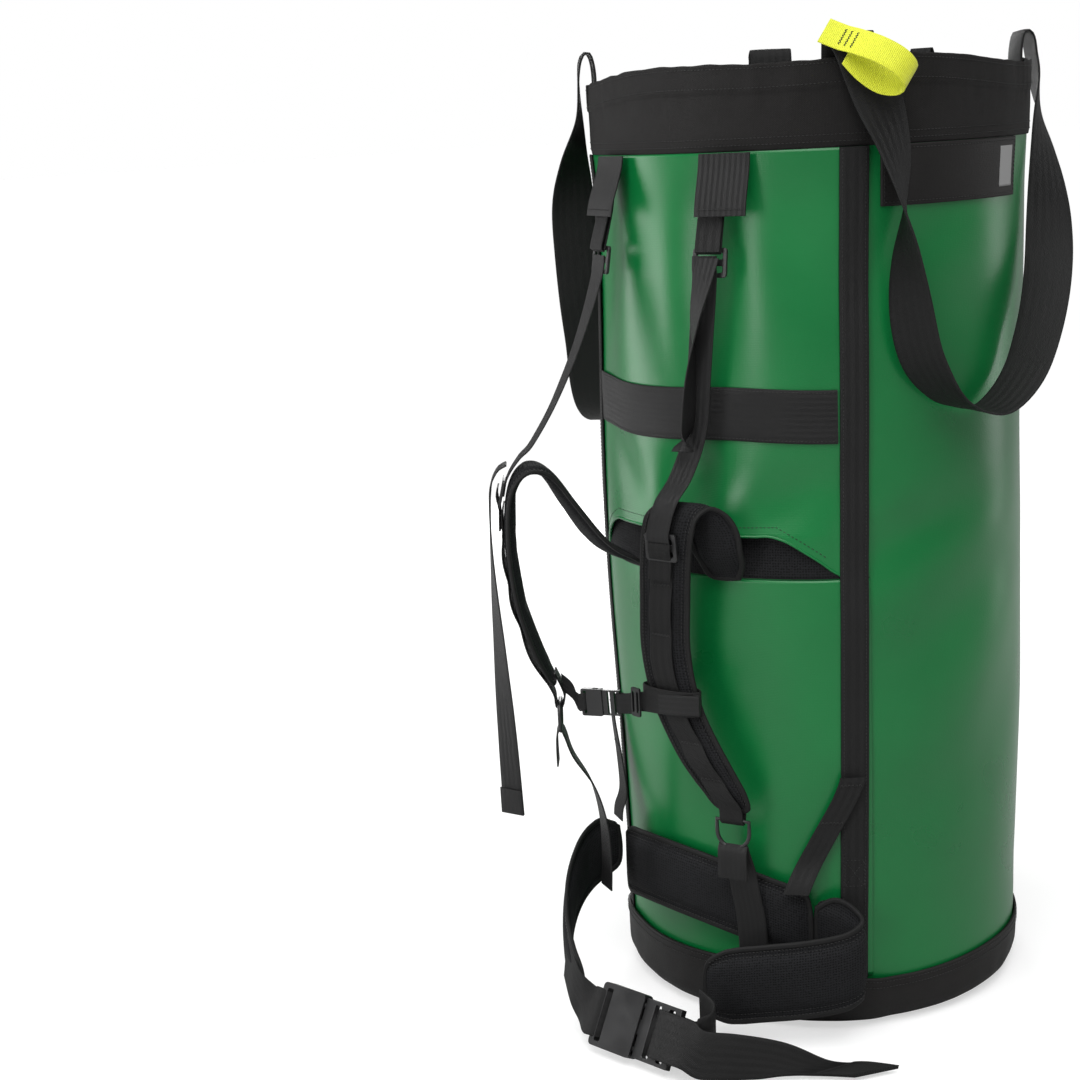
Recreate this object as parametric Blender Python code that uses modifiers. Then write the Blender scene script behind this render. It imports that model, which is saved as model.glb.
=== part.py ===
"""Haul and rope storage bag: a PVC tube with a nylon collar, carry handles and a stowable shoulder harness.

Frame: metres, +Z up, origin on the bag's axis at the underside of the base. The harness faces -Y and
the label patch is on +X. Places on the bag are given as (azimuth, height, proud): azimuth in degrees
from -Y towards +X, height above the floor, and distance out from the tube's outer face.
"""
import math

import bmesh
import bpy
from mathutils import Vector

# ---- driving dimensions -------------------------------------------------------------------------
MID_RADIUS = 0.2140          # the tube at its widest, at MID_HEIGHT
MID_HEIGHT = 0.50
BASE_RADIUS = 0.2020         # the tube where it enters the base boot
RIM_RADIUS = 0.2130
SEAM_HEIGHT = 0.853          # lower edge of the collar
SHELL_TOP = 0.868            # the tube's top edge, lapped inside the collar
RIM_HEIGHT = 0.926           # mean height of the collar's wavy top edge
BOOT_HEIGHT = 0.051
SHELL_WALL = 0.0020
COLLAR_WALL = 0.0020
BOOT_WALL = 0.0025
SEWN_GAP = 0.0005            # clearance between layers that lie on each other
SHEET = 0.0014               # PVC sheet of the harness panels
WEB = 0.0020                 # heavy webbing
THIN_WEB = 0.0016            # light webbing
HAUL_WIDTH = 0.045
EDGE_WIDTH = 0.027
BAND_WIDTH = 0.050
STRAP_WIDTH = 0.025
BELT_WIDTH = 0.046           # waist webbing where it threads its buckle
PAD_WIDTH = 0.056
PAD_THICK = 0.008
LUMBAR_THICK = 0.010
EDGE_AZ = 45.0               # azimuth of the two edge webbings
AZ_STEP = 5.0                # every sewn layer is faceted at the same azimuths
PANEL_AZ = EDGE_AZ + 4.0     # the harness panels reach under the edge webbings to this azimuth
PANEL_SLOT = 0.457           # height of the slot between the two panels
BAND_HEIGHT = 0.588          # lower edge of the cross band
FOOT_RADIUS = 0.022          # the boot's rounded foot
TAB_INSIDE = -0.0042         # how far inside the tube's outer face the collar's sewn tabs lie
LOCK_SHEET = 0.0030          # thickness of a ladder lock
HANDLE_AZ = 45.0             # a handle's two ends are at this azimuth and at its mirror about +X
HANDLE_AXIS_Z = 0.948
REAR_CLIP_SHIFT = Vector((-0.0036, 0.0036, -0.0220))    # the left clip loop is sewn on lower down
CLOSURE_AXIS_Z = 0.938

LAYER_1 = SEWN_GAP                       # inner face of a sheet sewn on the tube
LAYER_2 = LAYER_1 + SHEET + SEWN_GAP     # inner face of webbing sewn over that sheet


# ---- scene and materials ------------------------------------------------------------------------
def clear_scene():
    for obj in list(bpy.data.objects):
        bpy.data.objects.remove(obj)


def new_collection(name):
    collection = bpy.data.collections.new(name)
    bpy.context.scene.collection.children.link(collection)
    return collection


clear_scene()
BAG = new_collection("rope_haul_bag")
CUTTERS = new_collection("cutters")


def material(name, colour, roughness, metallic=0.0):
    found = bpy.data.materials.get(name)
    if found:
        return found
    made = bpy.data.materials.new(name)
    made.use_nodes = True
    shader = made.node_tree.nodes["Principled BSDF"]
    shader.inputs["Base Color"].default_value = (*colour, 1.0)
    shader.inputs["Roughness"].default_value = roughness
    shader.inputs["Metallic"].default_value = metallic
    made.diffuse_color = (*colour, 1.0)
    return made


GREEN_PVC = ("green_pvc", (0.010, 0.215, 0.055), 0.35)
BLACK_PVC = ("black_pvc", (0.012, 0.011, 0.011), 0.60)
BLACK_NYLON = ("black_nylon", (0.015, 0.014, 0.014), 0.85)
BLACK_WEBBING = ("black_webbing", (0.012, 0.012, 0.012), 0.70)
YELLOW_WEBBING = ("yellow_webbing", (0.80, 0.85, 0.03), 0.60)
PADDING = ("padding", (0.016, 0.017, 0.019), 0.85)
BLACK_PLASTIC = ("black_plastic", (0.020, 0.020, 0.021), 0.40)
BASE_FOAM = ("base_foam", (0.10, 0.10, 0.10), 0.80)


def add_object(name, mesh, finish):
    """Puts a finished mesh in the bag's collection, with its own copy of the named finish."""
    obj = bpy.data.objects.new(name, mesh)
    BAG.objects.link(obj)
    colour_name, colour, roughness = finish
    mesh.materials.append(material(f"{colour_name}_{name}", colour, roughness))
    mesh.shade_smooth()
    mesh.set_sharp_from_angle(angle=math.radians(40))
    return obj


def to_mesh(name, bm):
    """Faces point outwards: on a very small solid the recalculation alone can turn them all in."""
    bmesh.ops.recalc_face_normals(bm, faces=bm.faces)
    if bm.calc_volume(signed=True) < 0:
        bmesh.ops.reverse_faces(bm, faces=bm.faces)
    mesh = bpy.data.meshes.new(name)
    bm.to_mesh(mesh)
    bm.free()
    return mesh


def add_bmesh(name, bm, finish):
    return add_object(name, to_mesh(name, bm), finish)


def set_origin(obj, place):
    """Moves the object's origin to a joint's axis and leaves its shape where it is."""
    shift = Vector(place)
    for vertex in obj.data.vertices:
        vertex.co -= shift
    obj.location = shift


def add_solidify(obj, thickness, offset, even=True):
    modifier = obj.modifiers.new("thickness", "SOLIDIFY")
    modifier.thickness = thickness
    modifier.offset = offset
    modifier.use_even_offset = even


# ---- the bag's form -----------------------------------------------------------------------------
def tube_radius(z):
    """Outer radius of the tube: a slight taper to the base and a slight narrowing to the rim."""
    if z < MID_HEIGHT:
        share = (MID_HEIGHT - z) / (MID_HEIGHT - BOOT_HEIGHT)
        return MID_RADIUS - (MID_RADIUS - BASE_RADIUS) * share * share
    share = (z - MID_HEIGHT) / (RIM_HEIGHT - MID_HEIGHT)
    return MID_RADIUS - (MID_RADIUS - RIM_RADIUS) * share * share


def rim_height(azimuth):
    """The collar's slack top edge rises and falls around the mouth."""
    a = math.radians(azimuth)
    return RIM_HEIGHT + 0.005 * math.cos(2 * (a - 0.55)) + 0.0025 * math.cos(5 * a + 0.8)


def outward(azimuth):
    a = math.radians(azimuth)
    return Vector((math.sin(a), -math.cos(a), 0.0))


def around(azimuth):
    a = math.radians(azimuth)
    return Vector((math.cos(a), math.sin(a), 0.0))


def on_bag(azimuth, height, proud):
    place = outward(azimuth) * (tube_radius(height) + proud)
    place.z = height
    return place


def facet_azimuths(first, last):
    """The two ends, and the shared facet azimuths between them."""
    count = int(math.floor(last / AZ_STEP)) - int(math.ceil(first / AZ_STEP)) + 1
    start = math.ceil(first / AZ_STEP) * AZ_STEP
    inner = [start + AZ_STEP * i for i in range(count)]
    inner = [a for a in inner if first + 0.5 < a < last - 0.5]
    return [first, *inner, last]


def facet_heights(low, high, step=0.10):
    count = max(1, round((high - low) / step))
    return [low + (high - low) * i / count for i in range(count + 1)]


# ---- builders -----------------------------------------------------------------------------------
def mapped_grid(columns, rows, place):
    """A grid of columns x rows vertices, each moved to place(column, row)."""
    bm = bmesh.new()
    grid = bmesh.ops.create_grid(bm, x_segments=columns - 1, y_segments=rows - 1, size=0.5)
    for vertex in grid["verts"]:
        column = round((vertex.co.x + 0.5) * (columns - 1))
        row = round((vertex.co.y + 0.5) * (rows - 1))
        vertex.co = place(column, row)
    return bm


def wall_patch(name, azimuths, heights, proud, thickness, finish):
    """A piece that lies round the bag. proud(azimuth, height) is its inner face's distance off the tube."""
    bm = mapped_grid(
        len(azimuths),
        len(heights),
        lambda i, j: on_bag(azimuths[i], heights[j], proud(azimuths[i], heights[j])),
    )
    obj = add_bmesh(name, bm, finish)
    if obj.data.polygons[0].normal.dot(outward(azimuths[0])) < 0:
        obj.data.flip_normals()
    add_solidify(obj, thickness, 1.0)
    return obj


def ring_wall(name, stations, finish):
    """A closed ring: stations run down the outer face and up the inner one, as (height, radius) makers."""
    bm = bmesh.new()
    loops = []
    segments = round(360 / AZ_STEP)
    for height_of, radius_of in stations:
        loop = []
        for i in range(segments):
            azimuth = AZ_STEP * i
            place = outward(azimuth) * radius_of(azimuth)
            place.z = height_of(azimuth)
            loop.append(bm.verts.new(place))
        loops.append(loop)
    for near, far in zip(loops, loops[1:] + loops[:1]):
        for i in range(segments):
            j = (i + 1) % segments
            bm.faces.new((near[i], near[j], far[j], far[i]))
    return add_bmesh(name, bm, finish)


class Route:
    """A smooth line through a strap's points, with the direction of the strap's width at each."""

    def __init__(self, points, sides):
        self.points = [Vector(p) for p in points]
        self.sides = [Vector(s).normalized() for s in sides]

    def _blend(self, values, position):
        last = len(values) - 1
        i = min(int(position), last - 1)
        t = position - i
        before = values[max(i - 1, 0)]
        a, b = values[i], values[i + 1]
        after = values[min(i + 2, last)]
        return 0.5 * (
            2 * a
            + (b - before) * t
            + (2 * before - 5 * a + 4 * b - after) * t * t
            + (3 * a - before - 3 * b + after) * t * t * t
        )

    def at(self, share):
        """Place, width direction and outward normal at a share, 0 to 1, of the way along."""
        position = share * (len(self.points) - 1)
        place = self._blend(self.points, position)
        ahead = self._blend(self.points, min(position + 0.01, len(self.points) - 1))
        behind = self._blend(self.points, max(position - 0.01, 0))
        along = (ahead - behind).normalized()
        side = self._blend(self.sides, position).normalized()
        return place, side, side.cross(along).normalized()


def ribbon(name, route, width, thickness, finish, steps=24, lift=0.0, start=0.0, end=1.0, taper=0.0):
    """A strap or pad of one thickness along a route, lifted off it along its normal."""

    def place(i, j):
        share = start + (end - start) * i / steps
        middle, side, normal = route.at(share)
        nearest_end = min(i, steps - i) / steps
        narrow = 1.0 - taper * max(0.0, 1.0 - nearest_end * 6) ** 2
        return middle + side * (j - 0.5) * width * narrow + normal * lift

    obj = add_bmesh(name, mapped_grid(steps + 1, 2, place), finish)
    add_solidify(obj, thickness, 0.0, even=False)
    return obj


def rounded_outline(width, height, radius, corner_steps=3):
    corners = (
        (width / 2 - radius, height / 2 - radius, 0),
        (radius - width / 2, height / 2 - radius, 90),
        (radius - width / 2, radius - height / 2, 180),
        (width / 2 - radius, radius - height / 2, 270),
    )
    points = []
    for x, y, first in corners:
        for k in range(corner_steps + 1):
            a = math.radians(first + 90 * k / corner_steps)
            points.append((x + radius * math.cos(a), y + radius * math.sin(a)))
    return points


def moved_outline(outline, dx, dy):
    return [(x + dx, y + dy) for x, y in outline]


def flat_plate(name, outlines, thickness, origin, u_axis, v_axis, finish):
    """A plate with holes: the first outline is its edge. Local x and y become u_axis and v_axis."""
    curve = bpy.data.curves.new(name, "CURVE")
    curve.dimensions = "2D"
    curve.fill_mode = "BOTH"
    curve.extrude = thickness / 2
    for outline in outlines:
        spline = curve.splines.new("POLY")
        spline.points.add(len(outline) - 1)
        for point, (x, y) in zip(spline.points, outline):
            point.co = (x, y, 0.0, 1.0)
        spline.use_cyclic_u = True
    guide = bpy.data.objects.new(name + "_outline", curve)
    CUTTERS.objects.link(guide)
    evaluated = guide.evaluated_get(bpy.context.evaluated_depsgraph_get())
    mesh = bpy.data.meshes.new_from_object(evaluated)
    bpy.data.objects.remove(guide)
    bm = bmesh.new()
    bm.from_mesh(mesh)
    bpy.data.meshes.remove(mesh)
    bmesh.ops.remove_doubles(bm, verts=bm.verts, dist=0.00001)
    u, v = Vector(u_axis).normalized(), Vector(v_axis).normalized()
    n = u.cross(v)
    for vertex in bm.verts:
        x, y, z = vertex.co
        vertex.co = Vector(origin) + u * x + v * y + n * z
    return add_bmesh(name, bm, finish)


def box_cutter(name, low, high, frame):
    """A cutter box between two corners in the local frame (origin, u, v, n)."""
    origin, u, v, n = frame
    bm = bmesh.new()
    bmesh.ops.create_cube(bm, size=1.0)
    for vertex in bm.verts:
        share = [vertex.co[k] + 0.5 for k in range(3)]
        x, y, z = (low[k] + (high[k] - low[k]) * share[k] for k in range(3))
        vertex.co = origin + u * x + v * y + n * z
    cutter = bpy.data.objects.new(name, to_mesh(name, bm))
    cutter.hide_render = True
    cutter.display_type = "WIRE"
    CUTTERS.objects.link(cutter)
    return cutter


def add_boolean(obj, operand, operation):
    modifier = obj.modifiers.new(operand.name, "BOOLEAN")
    modifier.object = operand
    modifier.operation = operation


# ---- the bag ------------------------------------------------------------------------------------
def make_body_shell():
    heights = [0.030, 0.10, 0.20, 0.30, 0.40, 0.50, 0.65, SHELL_TOP]
    outer = [(lambda a, z=z: z, lambda a, z=z: tube_radius(z)) for z in reversed(heights)]
    inner = [(lambda a, z=z: z, lambda a, z=z: tube_radius(z) - SHELL_WALL) for z in heights]
    ring_wall("body_shell", outer + inner, GREEN_PVC)


def make_base():
    """The boot is a turned cup with a rounded foot; a stiffening disc lies in its floor."""
    outer = tube_radius(BOOT_HEIGHT) + SEWN_GAP + BOOT_WALL
    inner = outer - BOOT_WALL
    foot = FOOT_RADIUS
    profile = [(inner, BOOT_HEIGHT), (outer, BOOT_HEIGHT), (outer - 0.001, foot + 0.004)]
    for k in range(1, 5):
        a = math.radians(90 * k / 4)
        profile.append((outer - 0.001 - foot + foot * math.cos(a), foot - foot * math.sin(a)))
    profile.append((0.0, 0.0))
    profile.append((0.0, BOOT_WALL))
    profile.append((outer - foot - 0.001, BOOT_WALL))
    profile.append((inner - 0.001, foot + 0.004))
    turned("base_boot", profile, BLACK_PVC)
    disc = inner - foot
    thick = 0.006
    rest = BOOT_WALL + SEWN_GAP
    turned("base_disc", [(0.0, rest + thick), (disc, rest + thick), (disc, rest), (0.0, rest)], BASE_FOAM)


def turned(name, profile, finish):
    """A full turn of an (radius, height) profile about the bag's axis."""
    bm = bmesh.new()
    corners = [bm.verts.new((r, 0.0, z)) for r, z in profile]
    edges = [bm.edges.new((a, b)) for a, b in zip(corners, corners[1:])]
    if profile[0][0] > 0:
        edges.append(bm.edges.new((corners[-1], corners[0])))
    bmesh.ops.spin(
        bm, geom=corners + edges, cent=(0, 0, 0), axis=(0, 0, 1), angle=2 * math.pi,
        steps=round(360 / AZ_STEP), use_merge=True, use_duplicate=False,
    )
    bmesh.ops.remove_doubles(bm, verts=bm.verts, dist=0.00005)
    return add_bmesh(name, bm, finish)


def make_collar():
    face = COLLAR_WALL + SEWN_GAP
    heights = [SEAM_HEIGHT, 0.885]
    outer = [(rim_height, lambda a: RIM_RADIUS + face)]
    outer += [(lambda a, z=z: z, lambda a, z=z: tube_radius(z) + face) for z in reversed(heights)]
    inner = [(lambda a, z=z: z, lambda a, z=z: tube_radius(z) + SEWN_GAP) for z in heights]
    inner += [(rim_height, lambda a: RIM_RADIUS + SEWN_GAP)]
    ring_wall("collar", outer + inner, BLACK_NYLON)


def panel_lift(azimuth, height):
    """The upper harness panel's free lower edge stands off, most in the middle, where the pads pass."""
    middle = max(0.0, 1.0 - (azimuth / 40.0) ** 2)
    near_edge = max(0.0, 1.0 - (height - 0.50) / 0.07)
    return LAYER_1 + 0.014 * middle * min(1.0, near_edge) ** 2


def upper_panel_edge(azimuth):
    middle = max(0.0, 1.0 - (azimuth / 42.0) ** 2)
    return PANEL_SLOT + 0.001 + 0.042 * min(1.0, 1.6 * middle)


def make_harness_panels():
    azimuths = facet_azimuths(-PANEL_AZ, PANEL_AZ)
    shares = [i / 9 for i in range(10)]
    top = SEAM_HEIGHT - SEWN_GAP

    def upper(i, j):
        edge = upper_panel_edge(azimuths[i])
        height = edge + (top - edge) * shares[j] ** 1.6
        return on_bag(azimuths[i], height, panel_lift(azimuths[i], height))

    bm = mapped_grid(len(azimuths), len(shares), upper)
    obj = add_bmesh("harness_panel_upper", bm, GREEN_PVC)
    if obj.data.polygons[0].normal.dot(outward(azimuths[0])) < 0:
        obj.data.flip_normals()
    add_solidify(obj, SHEET, 1.0)
    wall_patch(
        "harness_panel_lower", azimuths, facet_heights(BOOT_HEIGHT + 0.004, PANEL_SLOT),
        lambda a, z: LAYER_1, SHEET, GREEN_PVC,
    )


def make_sewn_webbing():
    half = math.degrees(EDGE_WIDTH / 2 / MID_RADIUS)
    heights = facet_heights(BOOT_HEIGHT + 0.004, SEAM_HEIGHT - SEWN_GAP)
    for name, middle in (("right", EDGE_AZ), ("left", -EDGE_AZ)):
        azimuths = facet_azimuths(middle - half, middle + half)
        wall_patch(f"edge_webbing_{name}", azimuths, heights, lambda a, z: LAYER_2, WEB, BLACK_WEBBING)
    end = EDGE_AZ - half - 0.2
    wall_patch(
        "cross_band", facet_azimuths(-end, end), [BAND_HEIGHT, BAND_HEIGHT + BAND_WIDTH],
        lambda a, z: LAYER_2, WEB, BLACK_WEBBING,
    )
    wall_patch(
        "label_patch", facet_azimuths(52.5, 100.0), [0.798, SEAM_HEIGHT - SEWN_GAP],
        lambda a, z: LAYER_1, SHEET, BLACK_PVC,
    )


# ---- handles, closure and flaps -----------------------------------------------------------------
RIM_FRONT = ((45.0, HANDLE_AXIS_Z, 0.0015, 0.0), (45.3, 0.9460, 0.0080, 0.0))
RIM_REAR = ((134.5, 0.9300, 0.0110, 0.0), (135.0, 0.9460, 0.0080, 0.0), (135.0, HANDLE_AXIS_Z, 0.0015, 0.0))
HANDLE_ROUTES = {      # azimuth, height, proud and how many quarter turns the strap has made
    "right": (
        *RIM_FRONT, (47.5, 0.9300, 0.0105, 0.0), (51.0, 0.8950, 0.0115, 0.05), (54.3, 0.8500, 0.0190, 0.35),
        (55.6, 0.8000, 0.0265, 0.72), (56.0, 0.7500, 0.0265, 1.15), (57.0, 0.7000, 0.0275, 1.42),
        (59.5, 0.6600, 0.0275, 1.40), (65.0, 0.6280, 0.0265, 1.15), (71.0, 0.6130, 0.0258, 1.0),
        (78.0, 0.6080, 0.0250, 0.97), (85.0, 0.6190, 0.0250, 0.95), (92.0, 0.6400, 0.0250, 0.95),
        (98.0, 0.6700, 0.0250, 0.95), (104.0, 0.7050, 0.0245, 0.93), (110.0, 0.7450, 0.0225, 0.85),
        (117.0, 0.7950, 0.0190, 0.62), (124.0, 0.8450, 0.0150, 0.35), (130.5, 0.8950, 0.0130, 0.05),
        *RIM_REAR,
    ),
    "left": (
        *RIM_FRONT, (47.0, 0.9300, 0.0105, 0.0), (50.0, 0.8950, 0.0120, 0.05), (53.5, 0.8500, 0.0195, 0.35),
        (57.0, 0.8000, 0.0240, 0.75), (60.0, 0.7500, 0.0250, 0.85), (62.5, 0.7000, 0.0245, 0.8),
        (65.0, 0.6550, 0.0230, 0.8), (67.5, 0.6150, 0.0240, 0.85), (71.0, 0.5850, 0.0245, 0.95),
        (77.0, 0.5670, 0.0250, 1.0), (84.0, 0.5660, 0.0250, 1.0), (91.0, 0.5820, 0.0250, 1.0),
        (97.0, 0.6150, 0.0250, 1.0), (103.0, 0.6650, 0.0250, 1.0), (109.0, 0.7200, 0.0245, 0.9),
        (116.0, 0.7800, 0.0210, 0.7), (123.0, 0.8400, 0.0160, 0.4), (130.0, 0.8950, 0.0130, 0.1),
        *RIM_REAR,
    ),
}


def handle_route(rows):
    """The strap leaves the rim flat, turns over on its way down, hangs level and turns back behind."""
    points = [on_bag(azimuth, z, proud) for azimuth, z, proud, _ in rows]
    sides = []
    for index, (azimuth, _, _, turn) in enumerate(rows):
        inwards = around(azimuth) * (1 if azimuth < 90 else -1)
        if turn:
            inwards = outward(azimuth).cross(points[index + 1] - points[index - 1]).normalized()
        angle = math.radians(90 * turn)
        sides.append(inwards * math.cos(angle) - outward(azimuth) * math.sin(angle))
    return Route(points, sides)


def mirrored(route):
    flip = Vector((-1, 1, 1))
    return Route([p * flip for p in route.points], [s * flip for s in route.sides])


def half_turned(route, shift):
    turn = Vector((-1, -1, 1))
    return Route([p * turn + shift for p in route.points], [s * turn for s in route.sides])


def clip_loop_route():
    """A small webbing loop sewn on the handle's front end; it runs out, folds and comes back below."""
    root = Vector((0.154, -0.163, 0.944))
    along = Vector((0.82, 0.36, -0.45)).normalized()
    side = Vector((0.16, 0.61, 0.78)).normalized()
    face = side.cross(along).normalized()
    if face.y > 0:
        face = -face
    steps = (
        (0.000, 0.000, 0.000), (0.012, 0.008, 0.000), (0.035, 0.012, 0.000), (0.058, 0.008, 0.000),
        (0.068, 0.000, -0.004), (0.064, -0.008, -0.010), (0.048, -0.010, -0.016), (0.028, -0.010, -0.020),
    )
    points = [root + along * a + face * b + side * c for a, b, c in steps]
    return Route(points, [side] * len(points))


def make_handles():
    right, left = (handle_route(HANDLE_ROUTES[name]) for name in ("right", "left"))
    clip = clip_loop_route()
    hinge = Vector((on_bag(HANDLE_AZ, HANDLE_AXIS_Z, 0.0015).x, 0.0, HANDLE_AXIS_Z))
    straps = (
        ("haul_strap_right", right, HAUL_WIDTH, WEB, BLACK_WEBBING, 44, 1),
        ("haul_strap_left", mirrored(left), HAUL_WIDTH, WEB, BLACK_WEBBING, 44, -1),
        ("clip_loop_right", clip, STRAP_WIDTH, THIN_WEB, YELLOW_WEBBING, 20, 1),
        ("clip_loop_left", half_turned(clip, REAR_CLIP_SHIFT), STRAP_WIDTH, THIN_WEB, YELLOW_WEBBING, 20, -1),
    )
    for name, route, width, thickness, finish, steps, sign in straps:
        obj = ribbon(name, route, width, thickness, finish, steps=steps)
        set_origin(obj, (hinge.x * sign, 0.0, hinge.z))
    ends = (("right_front", 45.0), ("right_rear", 135.0), ("left_front", -45.0), ("left_rear", -135.0))
    for name, azimuth in ends:
        sewn_tab(f"haul_tab_{name}", azimuth, HAUL_WIDTH, 0.872, HANDLE_AXIS_Z - 0.003)


def sewn_tab(name, azimuth, width, low, high):
    """A strap's sewn-in end: flat webbing up the inside of the collar to the rim."""
    heights = (low, (low + high) / 2, high)
    points = [on_bag(azimuth, z, TAB_INSIDE) for z in heights]
    ribbon(name, Route(points, [around(azimuth)] * 3), width, WEB, BLACK_WEBBING, steps=4)


def make_closure():
    """The strap across the mouth hangs outside at the back; its buckle is inside at the front."""
    stations = (
        (CLOSURE_AXIS_Z, 0.0015), (0.936, 0.0070), (0.922, 0.0095), (0.890, 0.0105), (0.850, 0.0110),
        (0.800, 0.0085), (0.740, 0.0075), (0.685, 0.0090),
    )
    strap = ribbon(
        "closure_strap", straight_down(180.0, stations), STRAP_WIDTH, WEB, BLACK_WEBBING, steps=16,
    )
    set_origin(strap, on_bag(180.0, CLOSURE_AXIS_Z, 0.0015))
    sewn_tab("closure_anchor", 180.0, STRAP_WIDTH, 0.872, CLOSURE_AXIS_Z - 0.002)
    sewn_tab("closure_tab", 0.0, STRAP_WIDTH, 0.872, 0.8895)
    ladder_lock("closure_buckle", on_bag(0.0, 0.9050, -0.0060), around(0.0), Vector((0, 0, 1)))


def ladder_lock(name, origin, u_axis, v_axis):
    """A frame with three bars and two slots for the 25 mm webbing."""
    margin, height, slot, off_centre = 0.009, 0.0270, 0.0060, 0.0060
    opening = rounded_outline(STRAP_WIDTH + 0.001, slot, 0.001, 1)
    outlines = [
        rounded_outline(STRAP_WIDTH + margin, height, 0.003),
        moved_outline(opening, 0, off_centre),
        moved_outline(opening, 0, -off_centre),
    ]
    return flat_plate(name, outlines, LOCK_SHEET, origin, u_axis, v_axis, BLACK_PLASTIC)


FLAP_AZ = {"right": 15.5, "left": -22.0}
ANCHOR_AZ = {"right": 12.5, "left": -23.5}


FLAP_STATIONS = ((0.8500, 0.0065), (0.8400, 0.0080), (0.8250, 0.0130), (0.8090, 0.0185), (0.7970, 0.0210))
FLAP_WIDTH = 0.050
ANCHOR_STATIONS = ((0.8480, 0.0034), (0.8300, 0.0036), (0.8050, 0.0070), (0.7850, 0.0120), (0.7700, 0.0150))


def straight_down(azimuth, stations):
    """A strap that hangs down the bag at one azimuth, through (height, proud) stations."""
    points = [on_bag(azimuth, z, proud) for z, proud in stations]
    return Route(points, [around(azimuth)] * len(points))


def make_lifter_flaps():
    """Each flap covers the webbing that holds an upper ladder lock."""
    for name, azimuth in FLAP_AZ.items():
        route = straight_down(azimuth, FLAP_STATIONS)
        flap = ribbon(f"lifter_flap_{name}", route, FLAP_WIDTH, WEB, BLACK_WEBBING, steps=8)
        set_origin(flap, route.points[0])
    for name, azimuth in ANCHOR_AZ.items():
        route = straight_down(azimuth, ANCHOR_STATIONS)
        ribbon(f"lifter_anchor_{name}", route, STRAP_WIDTH, THIN_WEB, BLACK_WEBBING, steps=8)
        lean = Vector((0, 0, 1)) - outward(azimuth) * 0.15
        ladder_lock(f"lifter_buckle_{name}", on_bag(azimuth, 0.7555, 0.0172), around(azimuth), lean)


# ---- shoulder harness ---------------------------------------------------------------------------
def right_pad_route():
    stations = (
        (13.0, 0.4600, 0.0075), (13.0, 0.4720, 0.0130), (12.8, 0.4900, 0.0240), (12.0, 0.5120, 0.0290),
        (9.5, 0.5300, 0.0350), (6.5, 0.5330, 0.0470), (5.0, 0.5150, 0.0530), (3.5, 0.4800, 0.0500),
        (2.0, 0.4400, 0.0440), (1.0, 0.3900, 0.0400), (3.0, 0.3400, 0.0380), (8.0, 0.2930, 0.0360),
        (13.5, 0.2500, 0.0300), (15.0, 0.2360, 0.0280),
    )
    turns = (13, 13, 13, 12, 10, 8, 6, 5, 4, 4, 5, 8, 12, 14)
    return Route([on_bag(*s) for s in stations], [around(a) for a in turns])


LEFT_PAD_POINTS = (
    (-0.060, -0.2130, 0.460), (-0.066, -0.2220, 0.468), (-0.082, -0.2440, 0.486), (-0.096, -0.2680, 0.524),
    (-0.106, -0.2900, 0.560), (-0.113, -0.3120, 0.566), (-0.118, -0.3270, 0.545), (-0.119, -0.3300, 0.495),
    (-0.117, -0.3240, 0.440), (-0.113, -0.3080, 0.390), (-0.109, -0.2900, 0.352),
)
LEFT_PAD_TURNS = (-16, -18, -22, -28, -36, -44, -48, -50, -50, -50, -50)


def left_pad_route():
    return Route(LEFT_PAD_POINTS, [around(a) for a in LEFT_PAD_TURNS])


def make_shoulder_strap(name, route, lock_share):
    """The pad, the webbing sewn down its face and the ladder lock at its top. The face is outward."""
    sign = 1.0 if route.at(0.75)[2].y < 0 else -1.0
    ribbon(f"shoulder_pad_{name}", route, PAD_WIDTH, PAD_THICK, PADDING, steps=30, taper=0.35)
    face = sign * (PAD_THICK / 2 + SEWN_GAP + THIN_WEB / 2)
    ribbon(
        f"pad_webbing_{name}", route, STRAP_WIDTH, THIN_WEB, BLACK_WEBBING,
        steps=20, lift=face, start=lock_share + 0.06, end=0.985,
    )
    place, side, normal = route.at(lock_share)
    above = place + normal * sign * (PAD_THICK / 2 + LOCK_SHEET * 1.5)
    ladder_lock(f"pad_buckle_{name}", above, side, normal.cross(side))


def d_ring(name, place, side, down):
    """A straight bar and a half-round bow of 4 mm stock, turning about the bar."""
    half, drop, stock = 0.0165, 0.012, 0.0020
    points = [(-half, 0.0), (half, 0.0), (half, -drop)]
    for k in range(1, 7):
        a = math.radians(180 * k / 7)
        points.append((half * math.cos(a), -drop - half * math.sin(a)))
    points.append((-half, -drop))
    curve = bpy.data.curves.new(name, "CURVE")
    curve.dimensions = "3D"
    curve.bevel_depth = stock
    curve.bevel_resolution = 1
    spline = curve.splines.new("POLY")
    spline.points.add(len(points) - 1)
    spline.use_cyclic_u = True
    for point, (x, y) in zip(spline.points, points):
        world = side * x - down * y
        point.co = (*world, 1.0)
    guide = bpy.data.objects.new(name + "_line", curve)
    CUTTERS.objects.link(guide)
    mesh = bpy.data.meshes.new_from_object(guide.evaluated_get(bpy.context.evaluated_depsgraph_get()))
    bpy.data.objects.remove(guide)
    mesh.materials.clear()
    ring = add_object(name, mesh, BLACK_PLASTIC)
    ring.location = place
    return ring


RIGHT_RING = on_bag(14.8, 0.2250, 0.0290)
LEFT_RING = Vector((-0.1090, -0.2830, 0.3270))


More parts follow.
